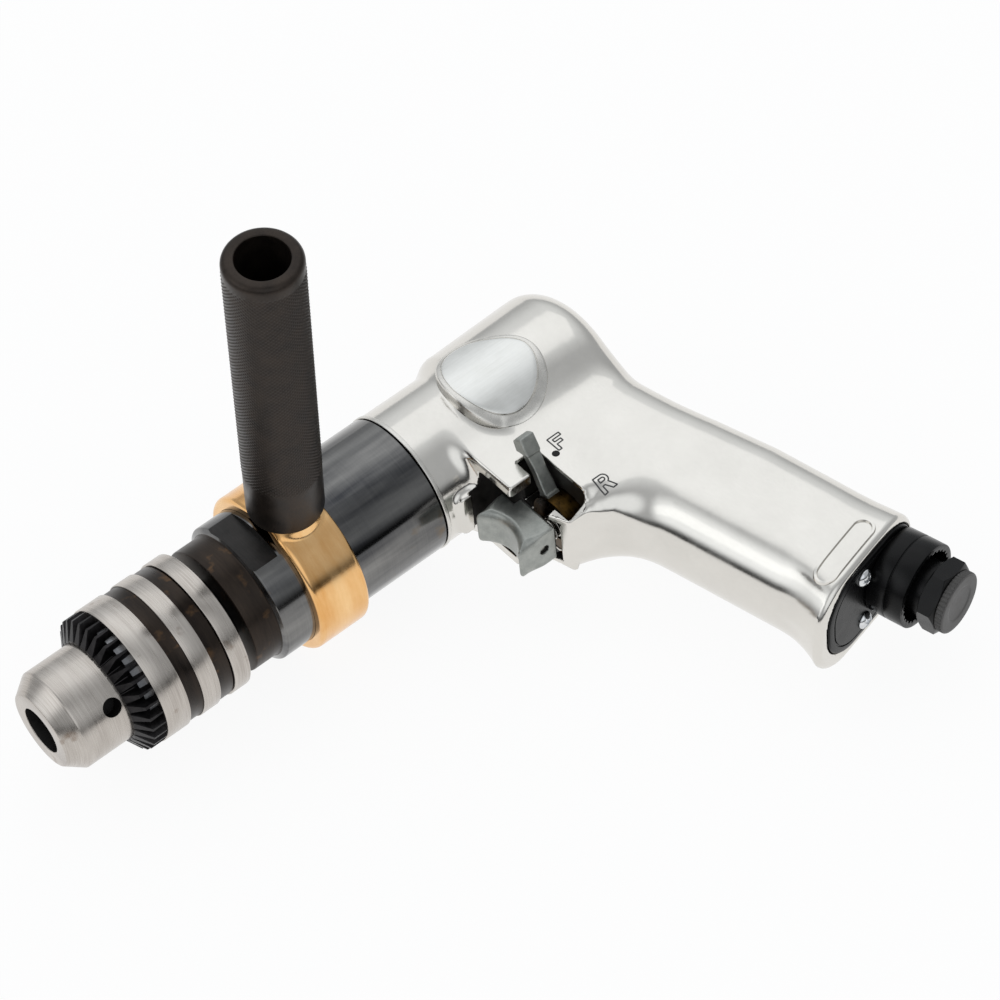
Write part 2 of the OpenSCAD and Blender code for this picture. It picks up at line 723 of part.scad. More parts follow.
badge_x = x_joint - 34.9;
badge_y = 2.5;

// Outline: a rounded triangle with its longest side toward the lever
function badge_r(a) = 15 + 1.2 * cos(a) + 0.2 * sin(a) - 0.4 * cos(2 * a) - 0.4 * sin(2 * a)
    - 0.8 * cos(3 * a) + 0.9 * sin(3 * a);

module badge_oval(grow) {
    translate([badge_x, badge_y]) polygon([for (k = [0:71]) let (a = 5 * k)
        [(badge_r(a) + grow) * cos(a) * badge_l / 29.2, (badge_r(a) + grow) * sin(a) * badge_h / 31.5]]);
}

module badge_dome(rise) {
    rod(barrel_r + badge_rise + rise, badge_x - badge_l, badge_x + badge_l);
}

module badge_band(rise, grow) {
    intersection() {
        translate([0, 0, 8]) linear_extrude(barrel_r) badge_oval(grow);
        badge_dome(rise);
    }
}

module motor_housing() {
    color(alu) difference() {
        union() {
            barrel_solid();
            head_solid();
            grip_solid();
            neck_solid();
            badge_band(0, 0);
        }
        rod(bore_r, x_rear_plate_end - 1, x_joint + over);
        translate([x_pocket, pocket_top, -half_w + cheek_t])
            cube([x_joint - x_pocket - 9, block_start - pocket_top, grip_w - 2 * cheek_t]);
        translate([x_pocket, block_start - 1, -trigger_w / 2 - 1])
            cube([x_joint - x_pocket - 9, beak_top - block_start + 1, trigger_w + 2]);
        for (side = [-1, 1]) translate([x_pocket, window_top, side > 0 ? block_half : -block_half - half_w])
            cube([20, 30, half_w]);
        translate([x_slot, slot_start, 0])
            cube([x_pocket - x_slot + 0.01, slot_end - slot_start, half_w + over]);
        rod(reverse_d / 2 + run, x_reverse_end - 0.2, x_pocket + over, throttle_y, 0);
        rod(reverse_bore_d / 2 - run, x_bush_end - 14, x_reverse_end, throttle_y, 0);
        for (side = [-1, 1]) {
            translate([x_pocket - 12, bore_r - 6, side * port_z]) rotate([-90, 0, 0]) cylinder(d = port_d, h = 22);
            translate([x_reverse_end - 2.7, bore_r - 8, side * exhaust_z]) rotate([-90, 0, 0])
                cylinder(d = port_d, h = 47);
        }
        in_grip() {
            along_grip(grip_end - over, cover_back)
                grip_section(-grip_back + rim_wall - 0.8, grip_front + rim_flare - rim_wall,
                    half_w + rim_side - rim_wall, grip_back_r - 2, rim_front_r - 2);
            grip_rod(neck_d / 2, grip_end, bush_l + 1);
            grip_rod(inlet_bore_d / 2 - 0.1, bush_l, 101);
            along_grip(cover_back - over, pocket_end) grip_section(felt_u, grip_front - 3, felt_half, 3, 5.6);
            for (side = [-1, 1]) grip_rod(screw_d / 2, cover_back - over, cover_back + 14, screw_u, side * screw_z);
        }
    }
}

module badge_plate() {
    color(alu) difference() {
        badge_band(0.3, -badge_rim);
        badge_dome(0);
    }
}

// Trigger, throttle and reverse

front_x = x_trigger + trigger_depth;
trigger_mid = trigger_top + trigger_h / 2;
trigger_heel = 5.5;
trigger_side = concat([[x_trigger + 2.5, trigger_top], [front_x - 1.2, trigger_top]],
    [for (k = [0:14]) let (t = -1 + 2 * k / 14)
        [front_x - trigger_hollow * (1 - t * t), trigger_mid + t * (trigger_h / 2 - 1.2)]],
    [[front_x - 1.2, trigger_top + trigger_h], [x_trigger, trigger_top + trigger_h],
        [x_trigger, trigger_top + trigger_heel], [x_trigger + 2.5, trigger_top + trigger_heel]]);

module trigger() {
    h = trigger_w / 2;
    color(grey) difference() {
        intersection() {
            translate([0, 0, -h]) linear_extrude(trigger_w) polygon(trigger_side);
            translate([0, trigger_top - over, 0]) rotate([-90, 0, 0]) linear_extrude(trigger_h + 2 * over)
                polygon(concat([[x_trigger - over, -h], [x_trigger - over, h]],
                    [for (k = [0:6]) [front_x - 4 + 4 * sin(15 * k), h - 4 + 4 * cos(15 * k)]],
                    [for (k = [6:-1:0]) [front_x - 4 + 4 * sin(15 * k), -h + 4 - 4 * cos(15 * k)]]));
        }
        rod(stem_d / 2, x_trigger - over, x_trigger + 6.5, throttle_y, 0);
        translate([x_trigger + 4.1, throttle_y - 8, 0]) rotate([-90, 0, 0]) cylinder(d = trigger_pin_d, h = 20);
    }
}

module trigger_pin() {
    color(steel) difference() {
        translate([x_trigger + 4.1, throttle_y - 8, 0]) rotate([-90, 0, 0])
            cylinder(d = trigger_pin_d, h = trigger_top + trigger_h - 1 - throttle_y + 8);
        rod(stem_d / 2, x_trigger - over, x_trigger + 6.5, throttle_y, 0);
    }
}

module throttle_stem() {
    color(bright) union() {
        rod(stem_d / 2, x_bush_end - 4.5, x_trigger + 6.5, throttle_y, 0);
        rod(reverse_bore_d / 2 - 1.2, x_bush_end - 5.5, x_bush_end - 4.3, throttle_y, 0);
    }
}

// One helix of wire with its ends laid along the spindle
coil_steps = 8;
coil_rings = spring_coils * coil_steps;
spring_x0 = x_bush + 0.05;
spring_x1 = x_trigger - 0.05;
helix_l = spring_x1 - spring_x0 - 2 * spring_wire;
helix = [for (k = [0:coil_rings]) let (a = 360 * k / coil_steps) [spring_x0 + spring_wire + helix_l * k / coil_rings,
    throttle_y + spring_d / 2 * cos(a), spring_d / 2 * sin(a)]];
spring_path = concat([helix[0] - [spring_wire, 0, 0]], helix, [helix[coil_rings] + [spring_wire, 0, 0]]);
spring_gap = min([for (i = [0:coil_rings]) for (j = [i + 5:1:coil_rings]) norm(helix[i] - helix[j])]) - spring_wire;
echo(spring_gap = spring_gap);

function ring_at(i) = let (n = len(spring_path) - 1, p = spring_path[i],
    d = spring_path[min(i + 1, n)] - spring_path[max(i - 1, 0)], t = d / norm(d),
    out = (i == 0 || i == n) ? [0, 1, 0] : [0, p[1] - throttle_y, p[2]],
    e = out - t * (out * t), e1 = e / norm(e), e2 = cross(t, e1))
    [for (m = [0:5]) p + spring_wire / 2 * (cos(60 * m) * e1 + sin(60 * m) * e2)];

module throttle_spring() {
    n = len(spring_path);
    points = [for (i = [0:n - 1]) each ring_at(i)];
    sides = [for (i = [0:n - 2]) for (m = [0:5]) each [[i * 6 + m, (i + 1) * 6 + m, (i + 1) * 6 + (m + 1) % 6],
        [i * 6 + m, (i + 1) * 6 + (m + 1) % 6, i * 6 + (m + 1) % 6]]];
    caps = [for (m = [1:4]) each [[0, m, m + 1], [(n - 1) * 6, (n - 1) * 6 + m + 1, (n - 1) * 6 + m]]];
    color(bright) polyhedron(points, concat(sides, caps));
}

module valve_bush() {
    color(steel) difference() {
        rod(reverse_bore_d / 2 - run, x_bush_end, x_bush, throttle_y, 0);
        rod(stem_d / 2 + run, x_bush_end - over, x_bush + over, throttle_y, 0);
    }
}

// Tongue of the lever in the reverse valve's notch
module lever_foot() {
    translate([0, -lever_t / 2 - 0.6, reverse_d / 2 - 1.2]) cube([lever_w, lever_t + 1.2, 2]);
}

module in_lever() {
    translate([lever_x, throttle_y, 0]) rotate([arm_turn, 0, 0]) children();
}

module reverse_valve() {
    color(brass) difference() {
        rod(reverse_d / 2, x_reverse_end, x_pocket - gap, throttle_y, 0);
        rod(reverse_bore_d / 2, x_reverse_end - over, x_pocket + over, throttle_y, 0);
        for (side = [-1, 1]) translate([x_pocket - 12, throttle_y - 12, side * 3]) rotate([-90, 0, 0])
            cylinder(d = 4, h = 10);
        in_lever() lever_foot();
    }
}

// Straight arm out through the slot, with a thumb pad at its back
arm_turn = 30;
arm_l = 28.2;
lever_x = x_pocket - 0.8 - lever_w;
module reverse_lever() {
    color(grey) in_lever() {
        translate([0, -lever_t / 2, reverse_d / 2 + gap]) cube([lever_w, lever_t, arm_l - reverse_d / 2 - gap]);
        lever_foot();
        rotate([90, 0, 90]) linear_extrude(lever_w + 0.6)
            polygon([[lever_t / 2, arm_l - 5.4], [lever_t / 2, arm_l], [-lever_t / 2 - 1.1, arm_l],
                [-lever_t / 2 - 2.2, arm_l - 5], [-lever_t / 2, arm_l - 5.6]]);
    }
}

// Air inlet and exhaust

module inlet_bushing() {
    color(black) in_grip() difference() {
        union() {
            translate([0, -hex_start, 0]) rotate([90, 0, 0]) rotate([0, 0, 15])
                cylinder(r = hex_af / 2 / cos(30), h = hex_end - hex_start, $fn = 6);
            grip_rod(neck_d / 2, hex_end - 0.5, bush_l);
        }
        grip_rod(inlet_bore_d / 2, hex_start - over, bush_floor);
        grip_rod(inlet_bore_d / 2 - 1.2, bush_floor - over, bush_l + over);
    }
}

module inlet_screen() {
    color(brass) in_grip() difference() {
        grip_rod(inlet_bore_d / 2, bush_floor - 1.4, bush_floor);
        for (k = [0:5]) grip_rod(0.8, bush_floor - 2, bush_floor + over, 3 * cos(60 * k), 3 * sin(60 * k));
    }
}

module dust_plug() {
    color([0.3, 0.3, 0.31]) in_grip() {
        grip_rod(plug_d / 2, 0, plug_head_l);
        grip_rod(inlet_bore_d / 2 - 0.1, plug_head_l - 0.5, plug_l);
    }
}

module exhaust_deflector() {
    color(black) in_grip() difference() {
        grip_rod(deflector_d / 2, deflector_start, cover_face - gap);
        grip_rod(neck_d / 2 + run, deflector_start - over, cover_face);
        grip_rod(deflector_d / 2 - 1.6, deflector_start - over, deflector_start + 6);
    }
}

module exhaust_cover() {
    color(black) in_grip() difference() {
        along_grip(cover_face, cover_back)
            grip_section(-grip_back + rim_wall - 0.7, grip_front + rim_flare - rim_wall - 0.1,
                half_w + rim_side - rim_wall - 0.1, grip_back_r - 2, rim_front_r - 2);
        grip_rod(neck_d / 2, cover_face - over, cover_back + over);
        for (side = [-1, 1]) grip_rod(screw_d / 2, cover_face - over, cover_back + over, screw_u, side * screw_z);
        for (k = [0:2]) grip_rod(1.3, cover_face - over, cover_back + over, 18.5, -6 + 6 * k);
    }
}

module cover_screw(side) {
    color(bright) in_grip() difference() {
        union() {
            grip_rod(screw_head_d / 2, cover_face - 2, cover_face, screw_u, side * screw_z);
            grip_rod(screw_d / 2, cover_face - 1, cover_back + 12, screw_u, side * screw_z);
        }
        for (turn = [0, 90]) translate([screw_u, -cover_face + 2.2, side * screw_z]) rotate([90, turn, 0])
            translate([-1.7, -0.35, 0]) cube([3.4, 0.7, 1.6]);
    }
}

module cover_screw_a() { cover_screw(1); }
module cover_screw_b() { cover_screw(-1); }

module muffler_felt() {
    color([0.5, 0.5, 0.46]) in_grip() along_grip(cover_back, felt_end)
        grip_section(felt_u, grip_front - 3, felt_half, 3, 5.6);
}

// Side handle, its band and stud

module in_handle() {
    translate([-band_back, 0, 0]) rotate([-handle_swing, 0, 0]) children();
}

module handle_band() {
    x0 = -band_back - band_w / 2;
    x1 = -band_back + band_w / 2;
    r = band_d / 2;
    ri = housing_d / 2 + run;
    e = 1.6;
    color(gold) difference() {
        union() {
            turned(concat([[ri, x0], [r - e, x0]],
                [for (k = [0:5]) [r - e + e * sin(18 * k), x0 + e - e * cos(18 * k)]],
                [for (k = [5:-1:0]) [r - e + e * sin(18 * k), x1 - e + e * cos(18 * k)]], [[ri, x1]]));
            in_handle() cylinder(d = boss_d, h = boss_h);
        }
        rod(ri, x0 - over, x1 + over);
        in_handle() cylinder(d = stud_d, h = r + 10);
    }
}

module handle_stud() {
    color(steel) in_handle() translate([0, 0, housing_d / 2 + 0.2])
        cylinder(d = stud_d, h = handle_foot_h + handle_foot - 2 - housing_d / 2);
}

module side_handle() {
    r = handle_d / 2;
    rb = handle_bore_d / 2;
    e = 1.4;
    color([0.16, 0.14, 0.13]) in_handle() rotate_extrude()
        polygon(concat([[stud_d / 2 + run, handle_foot_h], [r - 0.8, handle_foot_h], [r, handle_foot_h + 0.8]],
            [for (k = [0:5]) [r - e + e * cos(18 * k), handle_reach - e + e * sin(18 * k)]],
            [[rb + 0.6, handle_reach], [rb, handle_reach - 0.6], [rb, handle_foot_h + handle_foot],
            [stud_d / 2 + run, handle_foot_h + handle_foot]]));
}

motor_housing();
badge_plate();
gear_housing();
ring_gear();
spindle_seal();
front_bearing();
spindle();
planet_pins_2();
planet_2a();
planet_2b();
planet_2c();
carrier_1();
planet_pins_1();
planet_1a();
planet_1b();
planet_1c();
rotor();
rotor_vanes();
motor_cylinder();
front_plate();
rear_plate();
rotor_bearing_front();
rotor_bearing_rear();
chuck_body();
chuck_sleeve();
chuck_nut();
chuck_jaw_a();
chuck_jaw_b();
chuck_jaw_c();
chuck_screw();
handle_band();
handle_stud();
side_handle();
trigger();
trigger_pin();
throttle_stem();
throttle_spring();
valve_bush();
reverse_valve();
reverse_lever();
inlet_bushing();
inlet_screen();
dust_plug();
exhaust_deflector();
exhaust_cover();
cover_screw_a();
cover_screw_b();
muffler_felt();
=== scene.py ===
import math
import bpy
import numpy as np
from mathutils import Matrix, Vector


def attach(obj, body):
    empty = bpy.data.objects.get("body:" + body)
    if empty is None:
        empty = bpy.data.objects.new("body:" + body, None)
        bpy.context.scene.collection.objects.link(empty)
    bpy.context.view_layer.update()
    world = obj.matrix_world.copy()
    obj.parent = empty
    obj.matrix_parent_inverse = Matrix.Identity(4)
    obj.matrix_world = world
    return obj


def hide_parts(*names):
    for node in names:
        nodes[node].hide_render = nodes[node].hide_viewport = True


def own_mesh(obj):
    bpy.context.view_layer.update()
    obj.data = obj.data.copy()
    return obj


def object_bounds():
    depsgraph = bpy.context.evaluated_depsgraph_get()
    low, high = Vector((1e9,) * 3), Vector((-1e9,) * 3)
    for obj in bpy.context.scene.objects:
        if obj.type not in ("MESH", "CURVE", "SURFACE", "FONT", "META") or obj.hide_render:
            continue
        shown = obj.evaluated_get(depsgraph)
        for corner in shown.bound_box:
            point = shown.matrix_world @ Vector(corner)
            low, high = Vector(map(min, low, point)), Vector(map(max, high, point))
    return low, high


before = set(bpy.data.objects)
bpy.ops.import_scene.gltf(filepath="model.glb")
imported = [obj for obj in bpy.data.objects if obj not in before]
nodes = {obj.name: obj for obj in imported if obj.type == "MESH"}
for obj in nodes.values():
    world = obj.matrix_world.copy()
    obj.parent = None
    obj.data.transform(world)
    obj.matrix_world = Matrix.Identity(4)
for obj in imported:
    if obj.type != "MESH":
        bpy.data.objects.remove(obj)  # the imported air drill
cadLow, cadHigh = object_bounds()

mm = 0.001
tau = 2 * math.pi
print("frame loaded:", len(nodes), "nodes")


def hexColour(text):  # sRGB hex to linear colour
    c = np.array([int(text[i:i + 2], 16) for i in (1, 3, 5)]) / 255
    c = np.where(c <= 0.04045, c / 12.92, ((c + 0.055) / 1.055) ** 2.4)
    return (*c, 1.0)


def addNode(tree, kind, inputs=None, **settings):  # one node, its settings, its values and links
    node = tree.nodes.new("ShaderNode" + kind)
    for key, value in settings.items():
        setattr(node, key, value)
    for key, value in (inputs or {}).items():
        if isinstance(value, bpy.types.Node):  # a node stands for its first output
            value = value.outputs[0]
        if isinstance(value, bpy.types.NodeSocket):
            tree.links.new(value, node.inputs[key])
        else:
            node.inputs[key].default_value = value
    return node


def clearTree(owner):  # empty node tree of a material or world
    owner.use_nodes = True
    owner.node_tree.nodes.clear()
    return owner.node_tree


def newFinish(name, dark, light, rough, cloud, grain, depth, cloudRun=(1, 1, 1), grainRun=(1, 1, 1),
              grainShare=0.3, wave=0.0, metallic=1.0, spot=None, spotSize=8.0, spotFrom=0.6, sockets=None):
    # cloud: slow change of tone and gloss; grain: fine lines or grit, which makes grainShare of the tone;
    # spot: rare stains of a third colour. Sizes are in mm, and run stretches a pattern along x, y and z
    mat = bpy.data.materials.new(name)
    tree = clearTree(mat)
    where = addNode(tree, "TexCoord").outputs["Object"]
    noise = []
    for size, run, detail, soft in ((cloud, cloudRun, 4.0, 0.55), (grain, grainRun, 3.0, 0.6)):
        at = addNode(tree, "Mapping", {"Vector": where, "Scale": [1 / v for v in run]})
        noise.append(addNode(tree, "TexNoise", {"Vector": at, "Scale": 1 / (size * mm), "Detail": detail,
                                                "Roughness": soft}).outputs["Fac"])
    slow = addNode(tree, "Math", {0: noise[0], 1: 1 - grainShare}, operation="MULTIPLY")
    tone = addNode(tree, "Math", {0: noise[1], 1: grainShare, 2: slow}, operation="MULTIPLY_ADD")
    tone = addNode(tree, "MapRange", {"Value": tone, "From Min": 0.33, "From Max": 0.67})
    colour = addNode(tree, "Mix", {0: tone, 6: hexColour(dark), 7: hexColour(light)},
                     data_type="RGBA").outputs[2]
    if spot:
        stain = addNode(tree, "TexNoise", {"Vector": where, "Scale": 1 / (spotSize * mm), "Detail": 5.0})
        stain = addNode(tree, "MapRange", {"Value": stain.outputs["Fac"], "From Min": spotFrom,
                                           "From Max": spotFrom + 0.12, "To Max": 0.8})
        colour = addNode(tree, "Mix", {0: stain, 6: colour, 7: hexColour(spot)}, data_type="RGBA").outputs[2]
    gloss = addNode(tree, "MapRange", {"Value": noise[0], "From Min": 0.3, "From Max": 0.7,
                                       "To Min": rough[0], "To Max": rough[1]})
    swell = addNode(tree, "Bump", {"Height": noise[0], "Distance": wave * mm})
    rise = addNode(tree, "Bump", {"Height": noise[1], "Distance": depth * mm, "Normal": swell})
    shader = addNode(tree, "BsdfPrincipled", {"Base Color": colour, "Roughness": gloss, "Normal": rise,
                                              "Metallic": metallic, **(sockets or {})})
    addNode(tree, "OutputMaterial", {"Surface": shader})
    return mat


# buffed aluminium casting: bright and close to a mirror, with the slow waves of the buffing wheel
castAlu = newFinish("polished_cast_aluminium", "#d6d3cd", "#dfdcd6", rough=(0.12, 0.19), cloud=14.0,
                    wave=0.05, grain=0.5, grainRun=(1, 3, 1), depth=0.005)
# inside of the trigger's pocket, the slot and the bores: never machined, its dark colour painted shade of the
# recesses
cavityShadeAlu = newFinish("raw_casting_painted_shade", "#1d1b19", "#3a3734", metallic=0.6, rough=(0.4, 0.55), cloud=3.0,
                      grain=0.6, depth=0.05)
# edge of the name-plate seat: as cast and blasted, so a fine sandy grey
rimAlu = newFinish("blasted_aluminium_rim", "#c9c7c2", "#dfdcd6", rough=(0.22, 0.32), cloud=3.0, grain=0.35,
                   grainShare=0.6, depth=0.012)
# bare name plate: satin sheet, pale and even
plateAlu = newFinish("satin_aluminium_plate", "#dadad6", "#ebebe8", rough=(0.3, 0.4), cloud=7.0, grain=0.3,
                     grainRun=(26, 1, 26), grainShare=0.4, depth=0.012)
# turned and ground steel: fine rings round the axis, warm grey, some brown at the edges
groundSteel = newFinish("ground_steel", "#a8a19a", "#cdc7c0", rough=(0.2, 0.33), cloud=4.0,
                        cloudRun=(1, 5, 5), grain=0.25, grainRun=(1, 60, 60), grainShare=0.5, depth=0.006,
                        spot="#6d5238", spotSize=7.0, spotFrom=0.66)
# dark grooves of the chuck sleeve: black oxide that has begun to brown
grooveOxide = newFinish("browned_black_oxide", "#221d1a", "#3b322b", metallic=0.8, rough=(0.26, 0.42),
                        cloud=4.0, cloudRun=(1, 3, 3), grain=0.3, grainRun=(1, 40, 40), depth=0.01,
                        spot="#6b5138", spotSize=6.0, spotFrom=0.6)
# key teeth: milled after blacking, so dark with a low sheen
toothOxide = newFinish("black_oxide_teeth", "#1b1a1b", "#353334", metallic=0.85, rough=(0.28, 0.42),
                       cloud=2.0, grain=0.3, depth=0.01)
# gear housing: blued and polished steel; its tone runs in long streaks along the axis, painted reflections of
# the studio, with warm stains under a film of oil
bluedSteel = newFinish("blued_steel_painted_reflection_streaks", "#3c3d40", "#858482", rough=(0.09, 0.17), cloud=9.0,
                       cloudRun=(8, 1, 1), grain=0.35, grainRun=(1, 40, 40), grainShare=0.1, depth=0.002,
                       spot="#70604c", spotSize=9.0, spotFrom=0.64)
# spanner flats: milled, then blacked and left dull
flatOxide = newFinish("dull_black_oxide", "#262524", "#383635", metallic=0.7, rough=(0.38, 0.5), cloud=4.0,
                      grain=0.4, grainRun=(1, 18, 1), depth=0.012)
# bright-dipped ring: pale gold with fine turning lines
goldBand = newFinish("gold_anodised_aluminium", "#e2aa68", "#f6cc94", rough=(0.14, 0.24), cloud=6.0,
                     cloudRun=(1, 3, 3), grain=0.3, grainRun=(1, 50, 50), grainShare=0.2, depth=0.004)
# side handle: phosphated steel, brown-black, its high points rubbed a little brighter
handleSteel = newFinish("phosphated_knurl", "#26211e", "#3c342e", metallic=0.75, rough=(0.3, 0.42), cloud=5.0,
                        grain=0.4, depth=0.008)
# trigger and lever: tumbled zinc casting, matt grey with an orange-peel skin
tumbledZinc = newFinish("tumbled_zinc_casting", "#8e918d", "#aeb0ab", metallic=0.85, rough=(0.32, 0.45),
                        cloud=3.0, grain=0.45, depth=0.03)
# covers and inlet: black glass-filled nylon, low sheen and a faint mould texture
nylon = newFinish("black_nylon", "#060606", "#0d0d0e", metallic=0.0, rough=(0.2, 0.32), cloud=5.0, grain=0.5,
                  depth=0.006, sockets={"IOR": 1.53, "Specular IOR Level": 0.16})
# dust plug: grey polyethylene, waxy and dull
plugGrey = newFinish("grey_polyethylene", "#3d3c3b", "#4f4d4b", metallic=0.0, rough=(0.4, 0.52), cloud=4.0,
                     grain=0.4, depth=0.02, sockets={"IOR": 1.51, "Specular IOR Level": 0.4})
# bottoms and walls of holes and the chuck's mouth: black painted shade of the bores; also the real black of
# the direction dot
boreShadeAndDotBlack = newFinish("bore_painted_shade_and_dot_black", "#141312", "#211f1d", metallic=0.5, rough=(0.45, 0.6), cloud=2.0,
                      grain=0.4, depth=0.01)
# filled strokes of the direction marks: dark grey stoving paint
markPaint = newFinish("stoved_grey_paint", "#3f3f40", "#515151", metallic=0.0, rough=(0.5, 0.62), cloud=2.0,
                      grain=0.3, depth=0.005, sockets={"IOR": 1.5})
# cover screws: bright chrome that mirrors the black cover
chrome = newFinish("chromed_screw", "#c9cbcd", "#e3e4e5", rough=(0.1, 0.18), cloud=2.0, grain=0.3,
                   depth=0.002)
# reverse valve and screen: brass dark with oil and darkened further as painted shade of the slot it sits in,
# bright only in patches
brass = newFinish("oiled_brass_painted_shade", "#100d09", "#5a431f", rough=(0.24, 0.38), cloud=3.0, grain=0.25,
                  grainRun=(1, 30, 30), depth=0.006)
# spring, jaws and pins: drawn or ground wire, plain light grey
springWire = newFinish("spring_wire", "#aaa7a1", "#cfccc6", rough=(0.15, 0.25), cloud=2.0, grain=0.3,
                       depth=0.003)
# gears and their pins: hobbed steel, mid grey under oil
gearSteel = newFinish("hobbed_steel", "#66676a", "#8b8c8e", rough=(0.26, 0.38), cloud=2.0, grain=0.3,
                      depth=0.006)
# motor cylinder and plates: bored and faced aluminium with fine turning rings
innerAlu = newFinish("machined_aluminium", "#a0a1a3", "#bdbec0", rough=(0.27, 0.38), cloud=3.0, grain=0.3,
                     grainRun=(1, 30, 30), depth=0.006)
# spindle and studs: dark steel that is seen only in the bores
innerDark = newFinish("dark_bore_steel", "#2f2f31", "#48484a", rough=(0.34, 0.46), cloud=2.0, grain=0.3,
                      depth=0.006)
# vanes: pressed fibre, brown and dry
vaneFibre = newFinish("pressed_fibre", "#5c452c", "#7d6242", metallic=0.0, rough=(0.6, 0.75), cloud=2.0,
                      grain=0.3, grainRun=(6, 1, 1), depth=0.02)
# spindle seal: black rubber without shine
sealRubber = newFinish("nitrile_rubber", "#0c0c0d", "#171718", metallic=0.0, rough=(0.5, 0.65), cloud=2.0,
                       grain=0.4, depth=0.01)
# exhaust felt: grey, fibrous, no shine at all
feltGrey = newFinish("muffler_felt", "#6d6b63", "#918f86", metallic=0.0, rough=(0.9, 1.0), cloud=1.5,
                     grain=0.25, grainShare=0.6, depth=0.15)
print("finishes:", len(bpy.data.materials))


def addObject(name, data):  # new object in the scene's own collection
    thing = bpy.data.objects.new(name, data)
    bpy.context.scene.collection.objects.link(thing)
    return thing


def shade(mesh, index=None, sharp=None):  # smooth faces, the finish of each, creases above an angle
    mesh.polygons.foreach_set("use_smooth", np.ones(len(mesh.polygons), bool))
    if index is not None:
        mesh.polygons.foreach_set("material_index", np.asarray(index, np.int32))
    if sharp:
        mesh.set_sharp_from_angle(angle=math.radians(sharp))


def faceData(mesh):  # normals of the faces, and their middles in mm
    normal, middle = np.empty((2, len(mesh.polygons) * 3))
    mesh.polygons.foreach_get("normal", normal)
    mesh.polygons.foreach_get("center", middle)
    return normal.reshape(-1, 3).T, middle.reshape(-1, 3).T / mm


def newPiece(name, verts, faces, mats, body, covers=(), index=None, sharp=35, normals=None):
    # mesh from points in mm, riding on a body and standing in for the CAD nodes that it covers
    mesh = bpy.data.meshes.new(name)
    mesh.from_pydata((np.asarray(verts, float) * mm).tolist(), [], [list(map(int, f)) for f in faces])
    mats = mats if isinstance(mats, (list, tuple)) else [mats]
    for m in mats:
        mesh.materials.append(m)
    shade(mesh, index, sharp)
    if normals is not None:
        mesh.normals_split_custom_set_from_vertices(np.asarray(normals, float).tolist())
    mesh.validate()
    piece = addObject(name, mesh)
    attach(piece, body)
    if covers:
        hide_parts(*covers)
    return piece


def gridFaces(rows, cols, closed=False, base=0, flip=False):
    # quads of a rows x cols grid whose last column joins the first; closed also joins the last row to the
    # first
    i = np.arange(rows if closed else rows - 1)
    j = np.arange(cols)
    a, b = np.meshgrid(i, j, indexing="ij")
    c, d = (a + 1) % rows, (b + 1) % cols
    quad = np.stack([a * cols + b, a * cols + d, c * cols + d, c * cols + b], -1).reshape(-1, 4) + base
    return quad[:, ::-1] if flip else quad


def softCorners(points, radius, steps=4):
    # profile with each corner cut back by radius and rounded by a quadratic arc
    p = np.asarray(points, float)
    out = [p[0]]
    for k in range(1, len(p) - 1):
        before, after = p[k - 1] - p[k], p[k + 1] - p[k]
        la, lb = np.linalg.norm(before), np.linalg.norm(after)
        cut = min(radius, 0.45 * la, 0.45 * lb)
        a, b = p[k] + before / la * cut, p[k] + after / lb * cut
        t = np.linspace(0, 1, steps + 1)[:, None]
        out.extend((1 - t) ** 2 * a + 2 * t * (1 - t) * p[k] + t ** 2 * b)
    out.append(p[-1])
    return np.array(out)


def spun(profile, segments):
    # profile of (station, radius) carried round the spindle: y = r cos a, z = r sin a
    a = np.arange(segments) * tau / segments
    x = np.repeat(profile[:, :1], segments, 1)
    r = profile[:, 1:2]
    return np.stack([x, r * np.cos(a), r * np.sin(a)], -1).reshape(-1, 3)


inlet = dict(face=(-210.6, 139.7), rake=12.8)  # middle of the dust plug's face, lean of the grip
cosRake, sinRake = math.cos(math.radians(inlet["rake"])), math.sin(math.radians(inlet["rake"]))


def gripToRow(u, s, z):  # u to the front, s up the grip from the plug's face
    return np.stack([inlet["face"][0] + u * cosRake + s * sinRake,
                     inlet["face"][1] + u * sinRake - s * cosRake, z + 0 * u], -1)


def rowToGrip(x, y):  # the way back, to u and s
    dx, dy = x - inlet["face"][0], y - inlet["face"][1]
    return dx * cosRake + dy * sinRake, dx * sinRake - dy * cosRake


def spunInlet(profile, segments, wave=None):
    # profile of (s, radius) carried round the inlet's axis, with the radius changed by wave(radius, angle)
    a = np.arange(segments) * tau / segments
    r = np.repeat(profile[:, 1:2], segments, 1)
    if wave is not None:
        r = wave(r, a[None, :])
    s = np.repeat(profile[:, :1], segments, 1)
    return gripToRow(r * np.cos(a), s, r * np.sin(a)).reshape(-1, 3)


def softUnion(a, b, k):  # union with a fillet about k wide
    h = np.clip(0.5 + 0.5 * (b - a) / k, 0, 1)
    return b + (a - b) * h - k * h * (1 - h)


def roundCut(a, b, r):  # where both are inside, with the edge rounded to radius r
    return np.minimum(np.maximum(a, b), -r) + np.hypot(np.maximum(a + r, 0), np.maximum(b + r, 0))


def swellCut(a, b, r, power=2.1):  # the same with a superellipse, so the roll starts gently from the flat
    corner = np.maximum(a + r, 0) ** power + np.maximum(b + r, 0) ** power
    return np.minimum(np.maximum(a, b), -r) + corner ** (1 / power)


def easeStep(v, start, end):  # smooth rise from 0 at start to 1 at end
    t = np.clip((v - start) / (end - start), 0, 1)
    return t * t * (3 - 2 * t)


def boxField(x, y, z, low, high):  # distance to the faces of a block, negative inside
    mid, half = (np.array(low) + high) / 2, (np.array(high) - low) / 2
    q = [np.abs(v - m) - h for v, m, h in zip((x, y, z), mid, half)]
    return np.maximum(np.maximum(q[0], q[1]), q[2])


